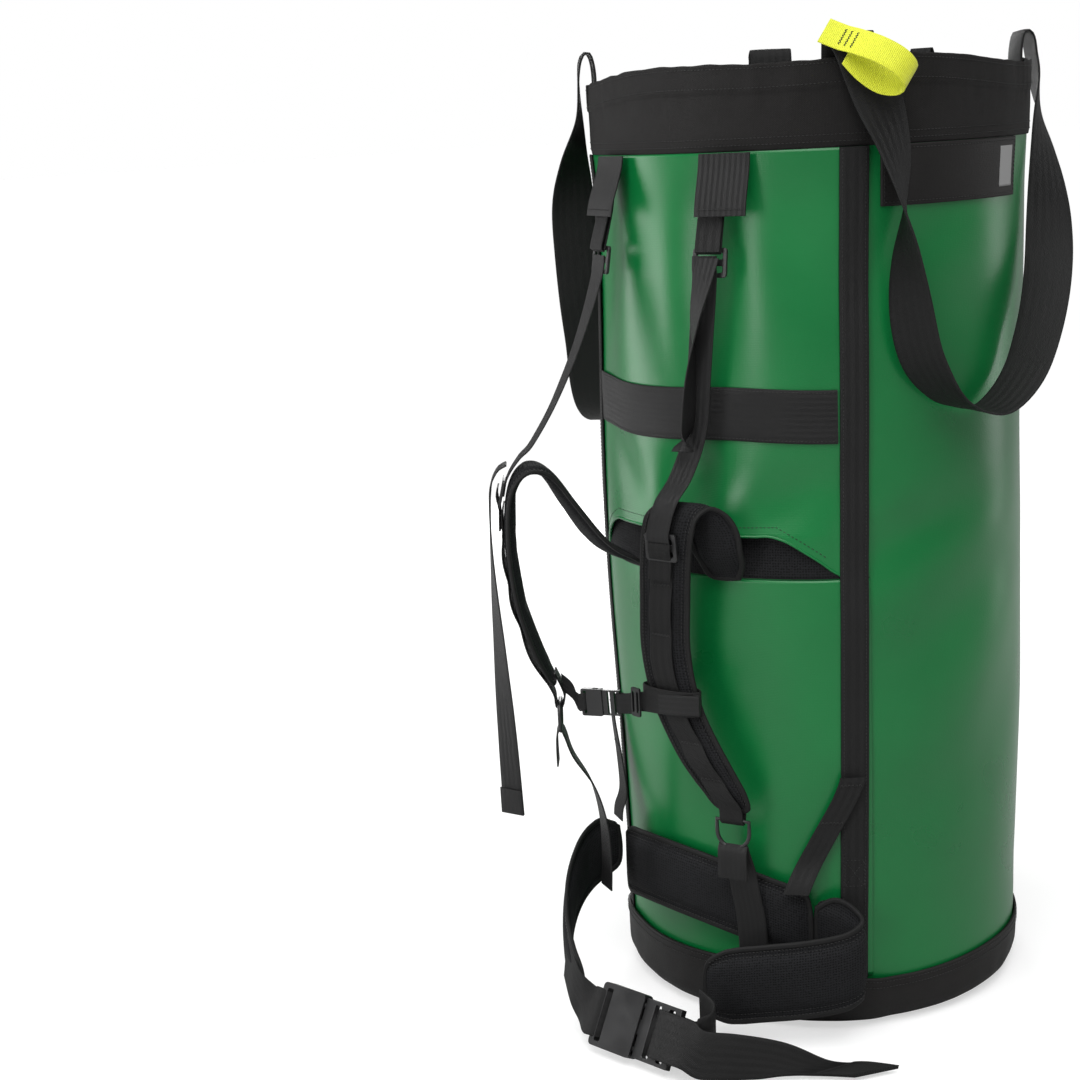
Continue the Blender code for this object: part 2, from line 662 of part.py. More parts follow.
def make_shoulder_straps():
    right = right_pad_route()
    left = left_pad_route()
    make_shoulder_strap("right", right, 0.50)
    make_shoulder_strap("left", left, 0.60)
    d_ring("d_ring_right", RIGHT_RING, around(14.8), Vector((0, 0, -1)))
    d_ring("d_ring_left", LEFT_RING, around(-50), Vector((0, 0, -1)))
    lower = (
        (15.2, 0.1890, 0.0260), (16.0, 0.1700, 0.0235), (17.0, 0.1450, 0.0220), (17.8, 0.1200, 0.0215),
        (18.0, 0.0950, 0.0215),
    )
    ribbon("lower_strap_right", down_bag(lower), STRAP_WIDTH, THIN_WEB, BLACK_WEBBING, steps=10)
    points = (
        (-0.108, -0.281, 0.2930), (-0.105, -0.262, 0.270), (-0.101, -0.246, 0.225), (-0.100, -0.238, 0.180),
    )
    ribbon(
        "lower_strap_left", Route(points, [around(a) for a in (-50, -42, -34, -28)]),
        STRAP_WIDTH, THIN_WEB, BLACK_WEBBING, steps=10,
    )


def down_bag(rows):
    """A strap through (azimuth, height, proud) stations, flat to the bag at each."""
    return Route([on_bag(*row) for row in rows], [around(row[0]) for row in rows])


def make_lifter_straps():
    right = (
        (11.5, 0.7380, 0.0205), (9.5, 0.6600, 0.0205), (8.0, 0.6000, 0.0225), (6.5, 0.5620, 0.0380),
        (5.6, 0.5440, 0.0580),
    )
    ribbon("lifter_strap_right", down_bag(right), STRAP_WIDTH, THIN_WEB, BLACK_WEBBING, steps=12)
    left = (
        (-0.095, -0.2170, 0.7380), (-0.101, -0.2400, 0.680), (-0.107, -0.2700, 0.628),
        (-0.112, -0.3000, 0.590), (-0.115, -0.3160, 0.578),
    )
    ribbon(
        "lifter_strap_left", Route(left, [around(a) for a in (-23, -30, -36, -42, -46)]),
        STRAP_WIDTH, THIN_WEB, BLACK_WEBBING, steps=12,
    )
    tail = (
        (-0.126, -0.3310, 0.572), (-0.130, -0.3420, 0.545), (-0.130, -0.3450, 0.480),
        (-0.129, -0.3430, 0.400), (-0.128, -0.3400, 0.310), (-0.128, -0.3370, 0.222),
    )
    ribbon(
        "lifter_tail_left", Route(tail, [around(a) for a in (-46, -48, -40, -20, 0, 10)]),
        STRAP_WIDTH, THIN_WEB, BLACK_WEBBING, steps=14,
    )


# ---- side-release buckles -----------------------------------------------------------------------
def side_release(prefix, names, frame, size):
    """A socket, a plug and the plug's two spring arms. Local +u is the way the plug is drawn out."""
    origin, u, v, n = frame
    socket, plug, arm_right, arm_left = (f"{prefix}_{part}" for part in names)
    half_w, half_t, half_l = 31 * size, 7 * size, 47.5 * size
    mouth = 4 * size
    cavity_w, cavity_t, cavity_end = 27 * size, 4.5 * size, -24 * size
    body = flat_plate(
        socket,
        [
            moved_outline(rounded_outline(half_l + mouth, 2 * half_w, 4 * size), (mouth - half_l) / 2, 0),
            moved_outline(rounded_outline(7 * size, 52 * size, size, 1), -38 * size, 0),
        ],
        2 * half_t, origin, u, v, BLACK_PLASTIC,
    )
    cavity = box_cutter(
        f"{socket}_cavity", (cavity_end, -cavity_w, -cavity_t), (mouth + 0.01, cavity_w, cavity_t), frame
    )
    beyond = half_w + 0.01
    windows = box_cutter(
        f"{socket}_windows", (-20 * size, -beyond, -cavity_t), (-6 * size, beyond, cavity_t), frame
    )
    add_boolean(body, cavity, "DIFFERENCE")
    add_boolean(body, windows, "DIFFERENCE")
    gap = 0.0004
    tongue = [(5 * size, 7 * size), (-21 * size, 6 * size), (-21 * size, -6 * size), (5 * size, -7 * size)]
    edge = [
        (5 * size, -29 * size), (half_l, -29 * size), (half_l, 29 * size), (5 * size, 29 * size), *tongue,
    ]
    slots = [
        moved_outline(rounded_outline(7 * size, 51 * size, size, 1), 20 * size, 0),
        moved_outline(rounded_outline(7 * size, 51 * size, size, 1), 37 * size, 0),
    ]
    flat_plate(plug, [edge, *slots], 8 * size, origin, u, v, BLACK_PLASTIC)
    arm = [
        (5 * size - gap, 19 * size), (5 * size - gap, 23 * size), (-6 * size, 24 * size),
        (-7 * size, 26.3 * size), (-17 * size, 26.3 * size), (-20 * size, 22 * size), (-20 * size, 20 * size),
    ]
    pivot = 4 * size
    for name, sign in ((arm_right, 1), (arm_left, -1)):
        outline = [(x, y * sign) for x, y in arm]
        if sign < 0:
            outline.reverse()
        obj = flat_plate(name, [outline], 7 * size, origin, u, v, BLACK_PLASTIC)
        set_origin(obj, origin + u * pivot + v * 21 * size * sign)


BUCKLE_NAMES = ("socket", "plug", "arm_right", "arm_left")


def buckle_frame(origin, u_axis, v_axis):
    u = Vector(u_axis).normalized()
    v = Vector(v_axis)
    v = (v - u * v.dot(u)).normalized()
    return Vector(origin), u, v, u.cross(v)


WAIST_FRAME = buckle_frame((0.012, -0.326, 0.0335), (1, 0, 0), (0, 0.5, 0.866))
CHEST_FRAME = buckle_frame((-0.069, -0.2660, 0.3300), (0.96, 0.25, 0.06), (-0.05, 0, 1))
WAIST_SIZE = 0.001
CHEST_SIZE = 0.00044
CHEST_WIDTH = 0.020
BUCKLE_GAP = 0.0025          # between a buckle's end and the strap that starts there


def make_chest_strap():
    side_release("chest", BUCKLE_NAMES, CHEST_FRAME, CHEST_SIZE)
    origin, u, v, _ = CHEST_FRAME
    plug_end = origin + u * (47.5 * CHEST_SIZE + BUCKLE_GAP)
    across_pad = (
        (10.0, 0.3430, 0.0490), (5.0, 0.3420, 0.0510), (0.0, 0.3400, 0.0510), (-5.0, 0.3370, 0.0480),
    )
    points = [*(on_bag(*row) for row in across_pad), plug_end + u * 0.012 + v * 0.001, plug_end]
    sides = [(0, 0, 1)] * len(across_pad) + [v, v]
    ribbon("chest_strap_right", Route(points, sides), CHEST_WIDTH, THIN_WEB, BLACK_WEBBING, steps=16)
    slot = rounded_outline(0.0030, CHEST_WIDTH + 0.001, 0.0005, 1)
    slots = (moved_outline(slot, 0.003, 0), moved_outline(slot, -0.003, 0))
    slider = [rounded_outline(0.012, 0.029, 0.002), *slots]
    at = on_bag(-6.0, 0.3365, 0.0515)
    flat_plate("chest_slider", slider, 0.0025, at, around(-8.0), (0, 0, 1), BLACK_PLASTIC)
    socket_end = origin - u * (47.5 * CHEST_SIZE + BUCKLE_GAP)
    points = [socket_end, Vector((-0.0960, -0.2765, 0.3400)), Vector((-0.1010, -0.2820, 0.3520))]
    ribbon("chest_strap_left", Route(points, [v, v, v]), 0.018, THIN_WEB, BLACK_WEBBING, steps=6)


# ---- hip belt -----------------------------------------------------------------------------------
def lumbar_height(azimuth):
    """The lumbar pad's middle line dips to both ends and slopes down to the right."""
    return 0.140 - 0.00002 * azimuth * azimuth - 0.0003 * azimuth


def make_hip_belt():
    lumbar = [on_bag(az, lumbar_height(az), 0.0108) for az in range(-32, 33, 4)]
    ribbon("lumbar_pad", Route(lumbar, [(0, 0, 1)] * len(lumbar)), 0.074, LUMBAR_THICK, PADDING, steps=32)
    right = (
        (33.6, 0.1100, 0.0095), (38.0, 0.1060, 0.0120), (42.0, 0.0990, 0.0190), (44.5, 0.0900, 0.0290),
        (43.0, 0.0820, 0.0370), (38.0, 0.0760, 0.0420), (30.0, 0.0700, 0.0440), (22.0, 0.0640, 0.0450),
        (14.0, 0.0560, 0.0460), (8.0, 0.0500, 0.0480),
    )
    route = Route([on_bag(*row) for row in right], [(0, 0, 1)] * len(right))
    ribbon("hip_wing_right", route, 0.080, PAD_THICK, PADDING, steps=26, taper=0.3)
    left = (
        (-0.1265, -0.1830, 0.1420), (-0.1360, -0.2000, 0.1400), (-0.1360, -0.2300, 0.1300),
        (-0.1240, -0.2650, 0.1080), (-0.1020, -0.2960, 0.0780), (-0.0760, -0.3150, 0.0540),
        (-0.0620, -0.3200, 0.0450),
    )
    route = Route(left, [(0, 0, 1)] * len(left))
    ribbon("hip_wing_left", route, 0.070, PAD_THICK, PADDING, steps=22, taper=0.3)
    side_release("waist", BUCKLE_NAMES, WAIST_FRAME, WAIST_SIZE)
    origin, u, v, _ = WAIST_FRAME
    left_end = origin - u * (47.5 * WAIST_SIZE + BUCKLE_GAP)
    points = [Vector((-0.0560, -0.3225, 0.0400)), Vector((-0.0470, -0.3245, 0.0370)), left_end]
    ribbon(
        "waist_webbing_left", Route(points, [Vector((0, 0.2, 0.98)), v, v]),
        BELT_WIDTH, WEB, BLACK_WEBBING, steps=6,
    )
    right_end = origin + u * (47.5 * WAIST_SIZE + BUCKLE_GAP)
    points = [
        right_end, Vector((0.0740, -0.3225, 0.0350)), Vector((0.0850, -0.3060, 0.0380)),
        Vector((0.0760, -0.2860, 0.0380)), Vector((0.0520, -0.2760, 0.0400)),
    ]
    ribbon(
        "waist_webbing_right", Route(points, [v, v, (0, 0.1, 1), (0, 0, 1), (0, 0, 1)]),
        BELT_WIDTH, WEB, BLACK_WEBBING, steps=14,
    )
    points = [
        (0.0900, -0.3260, 0.0290), (0.1100, -0.3120, 0.0270), (0.1350, -0.2850, 0.0200),
        (0.1600, -0.2600, 0.0090), (0.1850, -0.2350, 0.0070), (0.2100, -0.2200, 0.0065),
    ]
    sides = [
        (0, 0.3, 0.95), (0.1, 0.3, 0.95), (0.4, 0.5, 0.75),
        (0.6, 0.75, 0.25), (0.5, 0.85, 0.08), (0.5, 0.85, 0),
    ]
    ribbon("waist_tail", Route(points, sides), BELT_WIDTH, WEB, BLACK_WEBBING, steps=14)


def make_stabiliser_straps():
    right = (
        (43.5, 0.2620, 0.0072), (41.0, 0.2400, 0.0072), (36.5, 0.2080, 0.0070), (32.0, 0.1760, 0.0100),
        (30.0, 0.1600, 0.0185),
    )
    left = tuple((-az, z + 0.030, proud) for az, z, proud in right)
    for name, rows in (("right", right), ("left", left)):
        ribbon(f"stabiliser_strap_{name}", down_bag(rows), STRAP_WIDTH, THIN_WEB, BLACK_WEBBING, steps=10)


make_body_shell()
make_base()
make_collar()
make_harness_panels()
make_sewn_webbing()
make_handles()
make_closure()
make_lifter_flaps()
make_shoulder_straps()
make_lifter_straps()
make_chest_strap()
make_hip_belt()
make_stabiliser_straps()
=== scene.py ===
"""The looks of the rope haul bag: coated fabric, webbing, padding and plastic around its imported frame.

+Z up. Places on the bag are (azimuth, height, proud): azimuth in degrees from -Y towards +X,
height above the floor, and distance out from the tube's outer face. Tables of places are in degrees and
millimetres; everything else is in metres.
"""
import math

import bmesh
import bpy
from mathutils import Matrix, Vector, noise


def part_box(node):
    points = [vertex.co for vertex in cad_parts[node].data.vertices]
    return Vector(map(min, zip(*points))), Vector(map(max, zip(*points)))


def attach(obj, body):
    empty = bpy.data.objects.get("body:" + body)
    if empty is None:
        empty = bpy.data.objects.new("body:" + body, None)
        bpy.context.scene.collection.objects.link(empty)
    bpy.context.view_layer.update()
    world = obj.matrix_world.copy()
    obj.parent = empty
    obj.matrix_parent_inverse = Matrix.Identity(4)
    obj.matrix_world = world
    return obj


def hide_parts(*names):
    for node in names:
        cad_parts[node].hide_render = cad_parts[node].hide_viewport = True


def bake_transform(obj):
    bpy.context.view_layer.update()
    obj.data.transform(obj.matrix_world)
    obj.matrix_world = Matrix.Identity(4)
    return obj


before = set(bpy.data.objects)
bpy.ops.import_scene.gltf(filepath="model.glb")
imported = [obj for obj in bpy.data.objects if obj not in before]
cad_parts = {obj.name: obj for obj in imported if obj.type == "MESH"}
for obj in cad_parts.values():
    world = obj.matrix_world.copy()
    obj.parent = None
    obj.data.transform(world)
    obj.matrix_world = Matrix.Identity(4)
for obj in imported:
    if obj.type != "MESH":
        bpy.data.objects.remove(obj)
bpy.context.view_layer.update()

# ---- driving dimensions, as in the frame --------------------------------------------------------
MID_RADIUS = 0.2140
MID_HEIGHT = 0.50
BASE_RADIUS = 0.2020
RIM_RADIUS = 0.2130
SEAM_HEIGHT = 0.853
SHELL_TOP = 0.868
RIM_HEIGHT = 0.926
BOOT_HEIGHT = 0.051
SHELL_WALL = 0.0020
COLLAR_WALL = 0.0020
SEWN_GAP = 0.0005
SHEET = 0.0014
WEB = 0.0020
THIN_WEB = 0.0016
HAUL_WIDTH = 0.045
EDGE_WIDTH = 0.027
BAND_WIDTH = 0.050
STRAP_WIDTH = 0.025
BELT_WIDTH = 0.046
PAD_WIDTH = 0.056
EDGE_AZ = 45.0
HANDLE_AZ = 45.0
HANDLE_AXIS_Z = 0.948
REAR_CLIP_SHIFT = (-0.0036, 0.0036, -0.0220)     # the left clip loop is sewn on lower down
CLOSURE_AXIS_Z = 0.938
LAYER_1 = SEWN_GAP
LAYER_2 = LAYER_1 + SHEET + SEWN_GAP
TURN = 360.0
MM = 1000.0                  # millimetres in a metre, for the tables
UP = Vector((0, 0, 1))
DOWN = Vector((0, 0, -1))


# ---- the bag's form -----------------------------------------------------------------------------
def smooth(low, high, value):
    """0 below low, 1 above high, and a smooth step between."""
    share = min(1.0, max(0.0, (value - low) / (high - low)))
    return share * share * (3 - 2 * share)


def tube_radius(z):
    if z < MID_HEIGHT:
        share = (MID_HEIGHT - z) / (MID_HEIGHT - BOOT_HEIGHT)
        return MID_RADIUS - (MID_RADIUS - BASE_RADIUS) * share * share
    share = (z - MID_HEIGHT) / (RIM_HEIGHT - MID_HEIGHT)
    return MID_RADIUS - (MID_RADIUS - RIM_RADIUS) * share * share


def rim_height(azimuth):
    a = math.radians(azimuth)
    return RIM_HEIGHT + 0.005 * math.cos(2 * (a - 0.55)) + 0.0025 * math.cos(5 * a + 0.8)


def outward(azimuth):
    a = math.radians(azimuth)
    return Vector((math.sin(a), -math.cos(a), 0.0))


def around(azimuth):
    a = math.radians(azimuth)
    return Vector((math.cos(a), math.sin(a), 0.0))


def half_turn(azimuth):
    """The same azimuth between -180 and 180."""
    return (azimuth + 180.0) % TURN - 180.0


# Each dent in the coated fabric: azimuth, height, lean of its line in degrees from upright, half its
# length, half its width and its depth; lengths in millimetres.
DENTS = (
    (10, 760, 5, 130, 36, 8.5), (33, 770, -12, 90, 40, 5), (-12, 720, 0, 120, 40, 4.5),
    (-34, 740, 8, 110, 40, 4.5), (3, 545, 24, 60, 28, 6), (30, 535, 55, 60, 30, 6),
    (-22, 545, -38, 70, 30, 5.5), (16, 340, 8, 160, 50, 4.5), (-24, 310, 6, 150, 50, 4),
    (62, 500, 68, 80, 30, 6), (78, 420, 60, 110, 45, 6.5), (60, 765, 55, 80, 36, 5),
    (80, 700, -62, 80, 45, 4.5), (66, 230, 70, 60, 40, 3.5), (94, 300, 30, 150, 60, 5),
    (118, 560, 12, 160, 60, 5), (140, 700, -20, 110, 50, 5), (158, 470, 48, 110, 45, 6),
    (176, 300, -16, 160, 60, 4.5), (199, 620, 14, 170, 60, 5), (221, 430, 42, 110, 45, 5.5),
    (236, 730, -8, 120, 50, 5), (252, 280, 10, 150, 55, 4.5), (271, 560, -30, 120, 45, 5),
    (293, 730, 20, 110, 45, 5), (301, 380, -10, 160, 50, 4.5),
)


def dent(azimuth, z):
    """How far the slack fabric lies inside the round tube here."""
    a = math.radians(azimuth)
    where = Vector((math.sin(a) * 1.7, -math.cos(a) * 1.7, z * 3.0))
    depth = 0.0022 + 0.0026 * noise.noise(where) + 0.0004 * noise.noise(where * 2.6)
    for dent_az, dent_z, lean, half_length, half_width, most in DENTS:
        off = half_turn(azimuth - dent_az)
        if abs(off) > 45.0:
            continue
        dent_z, half_length, half_width, most = (v / MM for v in (dent_z, half_length, half_width, most))
        x, y = math.radians(off) * MID_RADIUS, z - dent_z
        c, s = math.cos(math.radians(lean)), math.sin(math.radians(lean))
        across, along = x * c - y * s, x * s + y * c
        across -= 0.12 * along * along / half_length
        reach = (along / half_length) ** 2 + (across / half_width) ** 2
        if reach < 6.0:
            depth += most * math.exp(-1.2 * reach)
    return max(0.0, depth) * smooth(0.045, 0.12, z) * (1 - 0.75 * smooth(0.80, 0.875, z))


def on_bag(azimuth, height, proud):
    """A place measured off the round tube, for what hangs free."""
    place = outward(azimuth) * (tube_radius(height) + proud)
    place.z = height
    return place


def on_fabric(azimuth, height, proud):
    """A place measured off the dented fabric, for what is sewn to it."""
    return on_bag(azimuth, height, proud - dent(azimuth, height))


# ---- routes -------------------------------------------------------------------------------------
def spline(values, position):
    """Catmull-Rom through values; position runs from 0 to the last index."""
    last = len(values) - 1
    i = min(int(position), last - 1)
    t = position - i
    before, a, b, after = values[max(i - 1, 0)], values[i], values[i + 1], values[min(i + 2, last)]
    bend = (b - before) * t + (2 * before - 5 * a + 4 * b - after) * t * t
    return 0.5 * (2 * a + bend + (3 * a - before - 3 * b + after) * t * t * t)


class Route:
    """A strap's smooth middle line, by distance along it, with the direction of its width at each place."""

    SAMPLES = 240

    def __init__(self, points, sides, out=None):
        self.points = [Vector(p) for p in points]
        self.sides = [Vector(s).normalized() for s in sides]
        last = len(self.points) - 1
        self.at_sample = [spline(self.points, last * i / self.SAMPLES) for i in range(self.SAMPLES + 1)]
        self.distance = [0.0]
        for a, b in zip(self.at_sample, self.at_sample[1:]):
            self.distance.append(self.distance[-1] + (b - a).length)
        self.length = self.distance[-1]
        self.sign = 1.0
        place, _, normal = self.at(self.length / 2)
        towards = Vector(out) if out is not None else Vector((place.x, place.y, 0.0))
        if normal.dot(towards) < 0:
            self.sign = -1.0

    def position(self, distance):
        """The spline position at a distance along."""
        distance = min(max(distance, 0.0), self.length)
        low, high = 0, self.SAMPLES
        while high - low > 1:
            middle = (low + high) // 2
            if self.distance[middle] <= distance:
                low = middle
            else:
                high = middle
        span = max(self.distance[high] - self.distance[low], 1e-9)
        share = (low + (distance - self.distance[low]) / span) / self.SAMPLES
        return share * (len(self.points) - 1)

    def at(self, distance):
        """Place, width direction and face normal."""
        position = self.position(distance)
        last = len(self.points) - 1
        place = spline(self.points, position)
        ahead = spline(self.points, min(position + 0.02, last))
        behind = spline(self.points, max(position - 0.02, 0.0))
        along = (ahead - behind).normalized()
        side = spline(self.sides, position).normalized()
        return place, side, side.cross(along).normalized() * self.sign

    def frame_at(self, distance, across=0.0, lift=0.0):
        """Place, direction along and normal, for a stitch."""
        place, side, normal = self.at(distance)
        along = normal.cross(side).normalized()
        return place + side * across + normal * lift, along, normal


def mirrored(route, flip, shift=(0, 0, 0)):
    """The route with its x, or x and y, turned to the other side, and then moved."""
    flip, shift = Vector(flip), Vector(shift)
    return Route([p * flip + shift for p in route.points], [s * flip for s in route.sides])


# ---- materials ----------------------------------------------------------------------------------
def add_node(tree, kind, inputs=(), **settings):
    """A node with its settings, and its inputs given as (socket, value or another node's output)."""
    made = tree.nodes.new(kind)
    for key, value in settings.items():
        setattr(made, key, value)
    for socket, value in dict(inputs).items():
        if isinstance(value, bpy.types.NodeSocket):
            tree.links.new(value, made.inputs[socket])
        else:
            made.inputs[socket].default_value = value
    return made


def maths(tree, operation, a, b=0.0, c=0.0):
    return add_node(tree, "ShaderNodeMath", {0: a, 1: b, 2: c}, operation=operation).outputs[0]


def summed(tree, a, share_a, b, share_b):
    return maths(tree, "ADD", maths(tree, "MULTIPLY", a, share_a), maths(tree, "MULTIPLY", b, share_b))


def wave(tree, value, period):
    return maths(tree, "SINE", maths(tree, "MULTIPLY", maths(tree, "DIVIDE", value, period), math.tau))


def cloud(tree, coords, scale, detail, **more):
    inputs = {"Vector": coords, "Scale": scale, "Detail": detail, **more}
    return add_node(tree, "ShaderNodeTexNoise", inputs).outputs[0]


def ranged(tree, value, low, high, start=0.3, stop=0.7):
    inputs = {"Value": value, 1: start, 2: stop, 3: low, 4: high}
    return add_node(tree, "ShaderNodeMapRange", inputs).outputs[0]


def new_group(name, inputs, outputs):
    """A shader group with number inputs, given as name: default, and the named number outputs."""
    tree = bpy.data.node_groups.new(name, "ShaderNodeTree")
    for label, value in inputs.items():
        socket = tree.interface.new_socket(label, in_out="INPUT", socket_type="NodeSocketFloat")
        socket.default_value = value
    for label in outputs:
        tree.interface.new_socket(label, in_out="OUTPUT", socket_type="NodeSocketFloat")
    return tree, tree.nodes.new("NodeGroupInput").outputs, tree.nodes.new("NodeGroupOutput").inputs


def make_weave():
    """Weft ribs over warp columns on the strap's own UV: the ribs lean one way and then the other."""
    defaults = {"Rib": 0.0013, "Column": 0.004, "Lean": 0.6, "Yarn": 0.0011}
    tree, given, put = new_group("ribbed_weave", defaults, ("Height", "Shade"))
    uv = add_node(tree, "ShaderNodeUVMap", uv_map="UVMap")
    across, along, _ = add_node(tree, "ShaderNodeSeparateXYZ", {0: uv.outputs[0]}).outputs
    chevron = maths(tree, "MULTIPLY", maths(tree, "PINGPONG", across, given["Column"]), given["Lean"])
    weft = wave(tree, maths(tree, "ADD", along, chevron), given["Rib"])
    height = summed(tree, weft, 0.36, wave(tree, across, given["Yarn"]), 0.14)
    tree.links.new(maths(tree, "ADD", height, 0.5), put["Height"])
    coords = add_node(tree, "ShaderNodeTexCoord").outputs["Object"]
    mixed = summed(tree, cloud(tree, coords, 420.0, 4.0), 0.5, cloud(tree, coords, 22.0, 3.0), 0.5)
    tree.links.new(mixed, put["Shade"])
    return tree


def make_grain():
    """Fine leathery grain over slow patches, on Object coordinates."""
    tree, given, put = new_group("grain", {"Fine": 900.0, "Patch": 9.0}, ("Height", "Patches", "Dust"))
    coords = add_node(tree, "ShaderNodeTexCoord").outputs["Object"]
    lint = cloud(tree, coords, 160.0, 5.0, Roughness=0.7)
    tree.links.new(cloud(tree, coords, given["Fine"], 3.0), put["Height"])
    tree.links.new(cloud(tree, coords, given["Patch"], 4.0), put["Patches"])
    tree.links.new(ranged(tree, lint, 0.0, 1.0, 0.62, 0.80), put["Dust"])
    return tree


def make_mesh_cloth():
    """Spacer mesh: small round holes in rows, on the piece's UV."""
    tree, given, put = new_group("spacer_mesh", {"Pitch": 0.0026}, ("Height",))
    uv = add_node(tree, "ShaderNodeUVMap", uv_map="UVMap")
    scaled = add_node(tree, "ShaderNodeVectorMath", {0: uv.outputs[0]}, operation="SCALE")
    tree.links.new(maths(tree, "DIVIDE", 1.0, given["Pitch"]), scaled.inputs["Scale"])
    cell_inputs = {"Vector": scaled.outputs[0], "Scale": 1.0, "Randomness": 0.25}
    cells = add_node(tree, "ShaderNodeTexVoronoi", cell_inputs).outputs["Distance"]
    tree.links.new(ranged(tree, cells, 0.0, 1.0, 0.20, 0.42), put["Height"])
    return tree


WEAVE = make_weave()
GRAIN = make_grain()
MESH_CLOTH = make_mesh_cloth()
SLOT_OF = {}                 # each finish's slot, by its name


def new_material(name, slot=None, **fixed):
    made = bpy.data.materials.new(name)
    made.use_nodes = True
    for key, value in fixed.items():
        made.node_tree.nodes["Principled BSDF"].inputs[key.replace("_", " ")].default_value = value
    SLOT_OF[made.name] = slot
    return made


def use_group(tree, group, **values):
    made = tree.nodes.new("ShaderNodeGroup")
    made.node_tree = group
    for key, value in values.items():
        made.inputs[key].default_value = value
    return made.outputs


def paint(material, tone, dark, light, ramp, patches, rough, height, relief):
    """Colour from the tone, roughness from the patches and bump from the height."""
    tree = material.node_tree
    shader = tree.nodes["Principled BSDF"]
    blender = add_node(tree, "ShaderNodeValToRGB", {"Fac": tone})
    for stop, position, colour in zip(blender.color_ramp.elements, ramp, (dark, light)):
        stop.position = position
        stop.color = (*colour, 1.0)
    tree.links.new(blender.outputs[0], shader.inputs["Base Color"])
    tree.links.new(ranged(tree, patches, *rough), shader.inputs["Roughness"])
    bump = add_node(tree, "ShaderNodeBump", {"Height": height, "Distance": relief})
    tree.links.new(bump.outputs[0], shader.inputs["Normal"])
    return material


def coated_fabric(name, slot, dark, light, rough, fine, relief, **fixed):
    """PVC on a scrim: a smooth skin with faint grain, the scrim's threads just showing through."""
    made = new_material(name, slot, **fixed)
    tree = made.node_tree
    grain = use_group(tree, GRAIN, Fine=fine, Patch=7.0)
    scrim = use_group(tree, WEAVE, Rib=0.0016, Column=1.0, Lean=0.0, Yarn=0.0016)
    tone = summed(tree, grain["Patches"], 0.8, grain["Dust"], 0.12)
    height = summed(tree, grain["Height"], 1.0, scrim["Height"], 0.45)
    return paint(made, tone, dark, light, (0.25, 0.75), grain["Patches"], rough, height, relief)


def woven(name, slot, dark, light, rough, relief, rib=0.0013, column=0.004, lean=0.6, yarn=0.0011, **fixed):
    made = new_material(name, slot, **fixed)
    tree = made.node_tree
    weave = use_group(tree, WEAVE, Rib=rib, Column=column, Lean=lean, Yarn=yarn)
    # The colour follows the weave's height: lighter on the raised ribs and darker in the grooves. This is a
    # painted sheen on the rib tops and painted shade in the grooves, mixed with a random tone from the Shade
    # clouds.
    tone = summed(tree, weave["Height"], 0.55, weave["Shade"], 0.45)
    return paint(made, tone, dark, light, (0.2, 0.8), weave["Shade"], rough, weave["Height"], relief)


def padding_cloth(name, slot, dark, light, relief, **fixed):
    made = new_material(name, slot, **fixed)
    tree = made.node_tree
    mesh_cloth = use_group(tree, MESH_CLOTH, Pitch=0.0026)
    grain = use_group(tree, GRAIN, Fine=700.0, Patch=30.0)
    # The holes are coloured darker than the mesh face: painted shade inside the holes, over patches of random
    # tone.
    tone = maths(tree, "MULTIPLY", mesh_cloth["Height"], ranged(tree, grain["Patches"], 0.6, 1.0))
    height = summed(tree, mesh_cloth["Height"], 1.0, grain["Height"], 0.3)
    return paint(made, tone, dark, light, (0.0, 1.0), grain["Patches"], (0.75, 0.95), height, relief)


def moulded(name, slot, dark, light, rough, relief, **fixed):
    made = new_material(name, slot, **fixed)
    tree = made.node_tree
    grain = use_group(tree, GRAIN, Fine=1500.0, Patch=40.0)
    tone = summed(tree, grain["Patches"], 0.7, grain["Dust"], 0.2)
    return paint(made, tone, dark, light, (0.2, 0.8), grain["Patches"], rough, grain["Height"], relief)


def grey(value):
    return value, value, value


GREEN_PVC = coated_fabric(
    "green_coated_fabric", "green_pvc", (0.0015, 0.150, 0.034), (0.0035, 0.205, 0.047), (0.26, 0.36),
    620.0, 0.00009, Specular_IOR_Level=0.5)
BLACK_PVC = coated_fabric(
    "black_coated_fabric", "black_pvc", (0.0075, 0.0070, 0.0070), (0.0180, 0.0165, 0.0160), (0.48, 0.66),
    480.0, 0.00022, Specular_IOR_Level=0.28)
COLLAR_NYLON = woven(
    "collar_nylon", "black_nylon", (0.0040, 0.0038, 0.0038), (0.0240, 0.0225, 0.0220), (0.62, 0.82), 0.00045,
    rib=0.0017, column=10.0, lean=1.15, yarn=0.0013, Specular_IOR_Level=0.22)
BLACK_WEBBING = woven(
    "black_webbing", "black_webbing", (0.0035, 0.0035, 0.0036), (0.0170, 0.0168, 0.0170), (0.48, 0.66),
    0.00028, Specular_IOR_Level=0.25)
FLAT_WEBBING = woven(
    "smooth_webbing", "black_webbing", (0.0045, 0.0045, 0.0046), (0.0150, 0.0148, 0.0152), (0.42, 0.58),
    0.00014, rib=0.0009, column=0.0026, lean=0.9, yarn=0.0008, Specular_IOR_Level=0.30)
YELLOW_WEBBING = woven(
    "yellow_webbing", "yellow_webbing", (0.55, 0.60, 0.010), (0.93, 0.97, 0.055), (0.50, 0.65), 0.00030,
    rib=0.0016, column=0.006, lean=0.1, yarn=0.0012, Specular_IOR_Level=0.4, Sheen_Weight=0.2)
PADDING = padding_cloth(
    "padding_mesh", "padding", (0.0030, 0.0031, 0.0034), (0.0165, 0.0168, 0.0185), 0.00035,
    Specular_IOR_Level=0.20)
BINDING = woven(
    "binding_tape", "black_webbing", (0.0040, 0.0040, 0.0041), (0.0165, 0.0163, 0.0165), (0.55, 0.72),
    0.00020, rib=0.0010, column=0.010, lean=0.0, yarn=0.0010, Specular_IOR_Level=0.25)
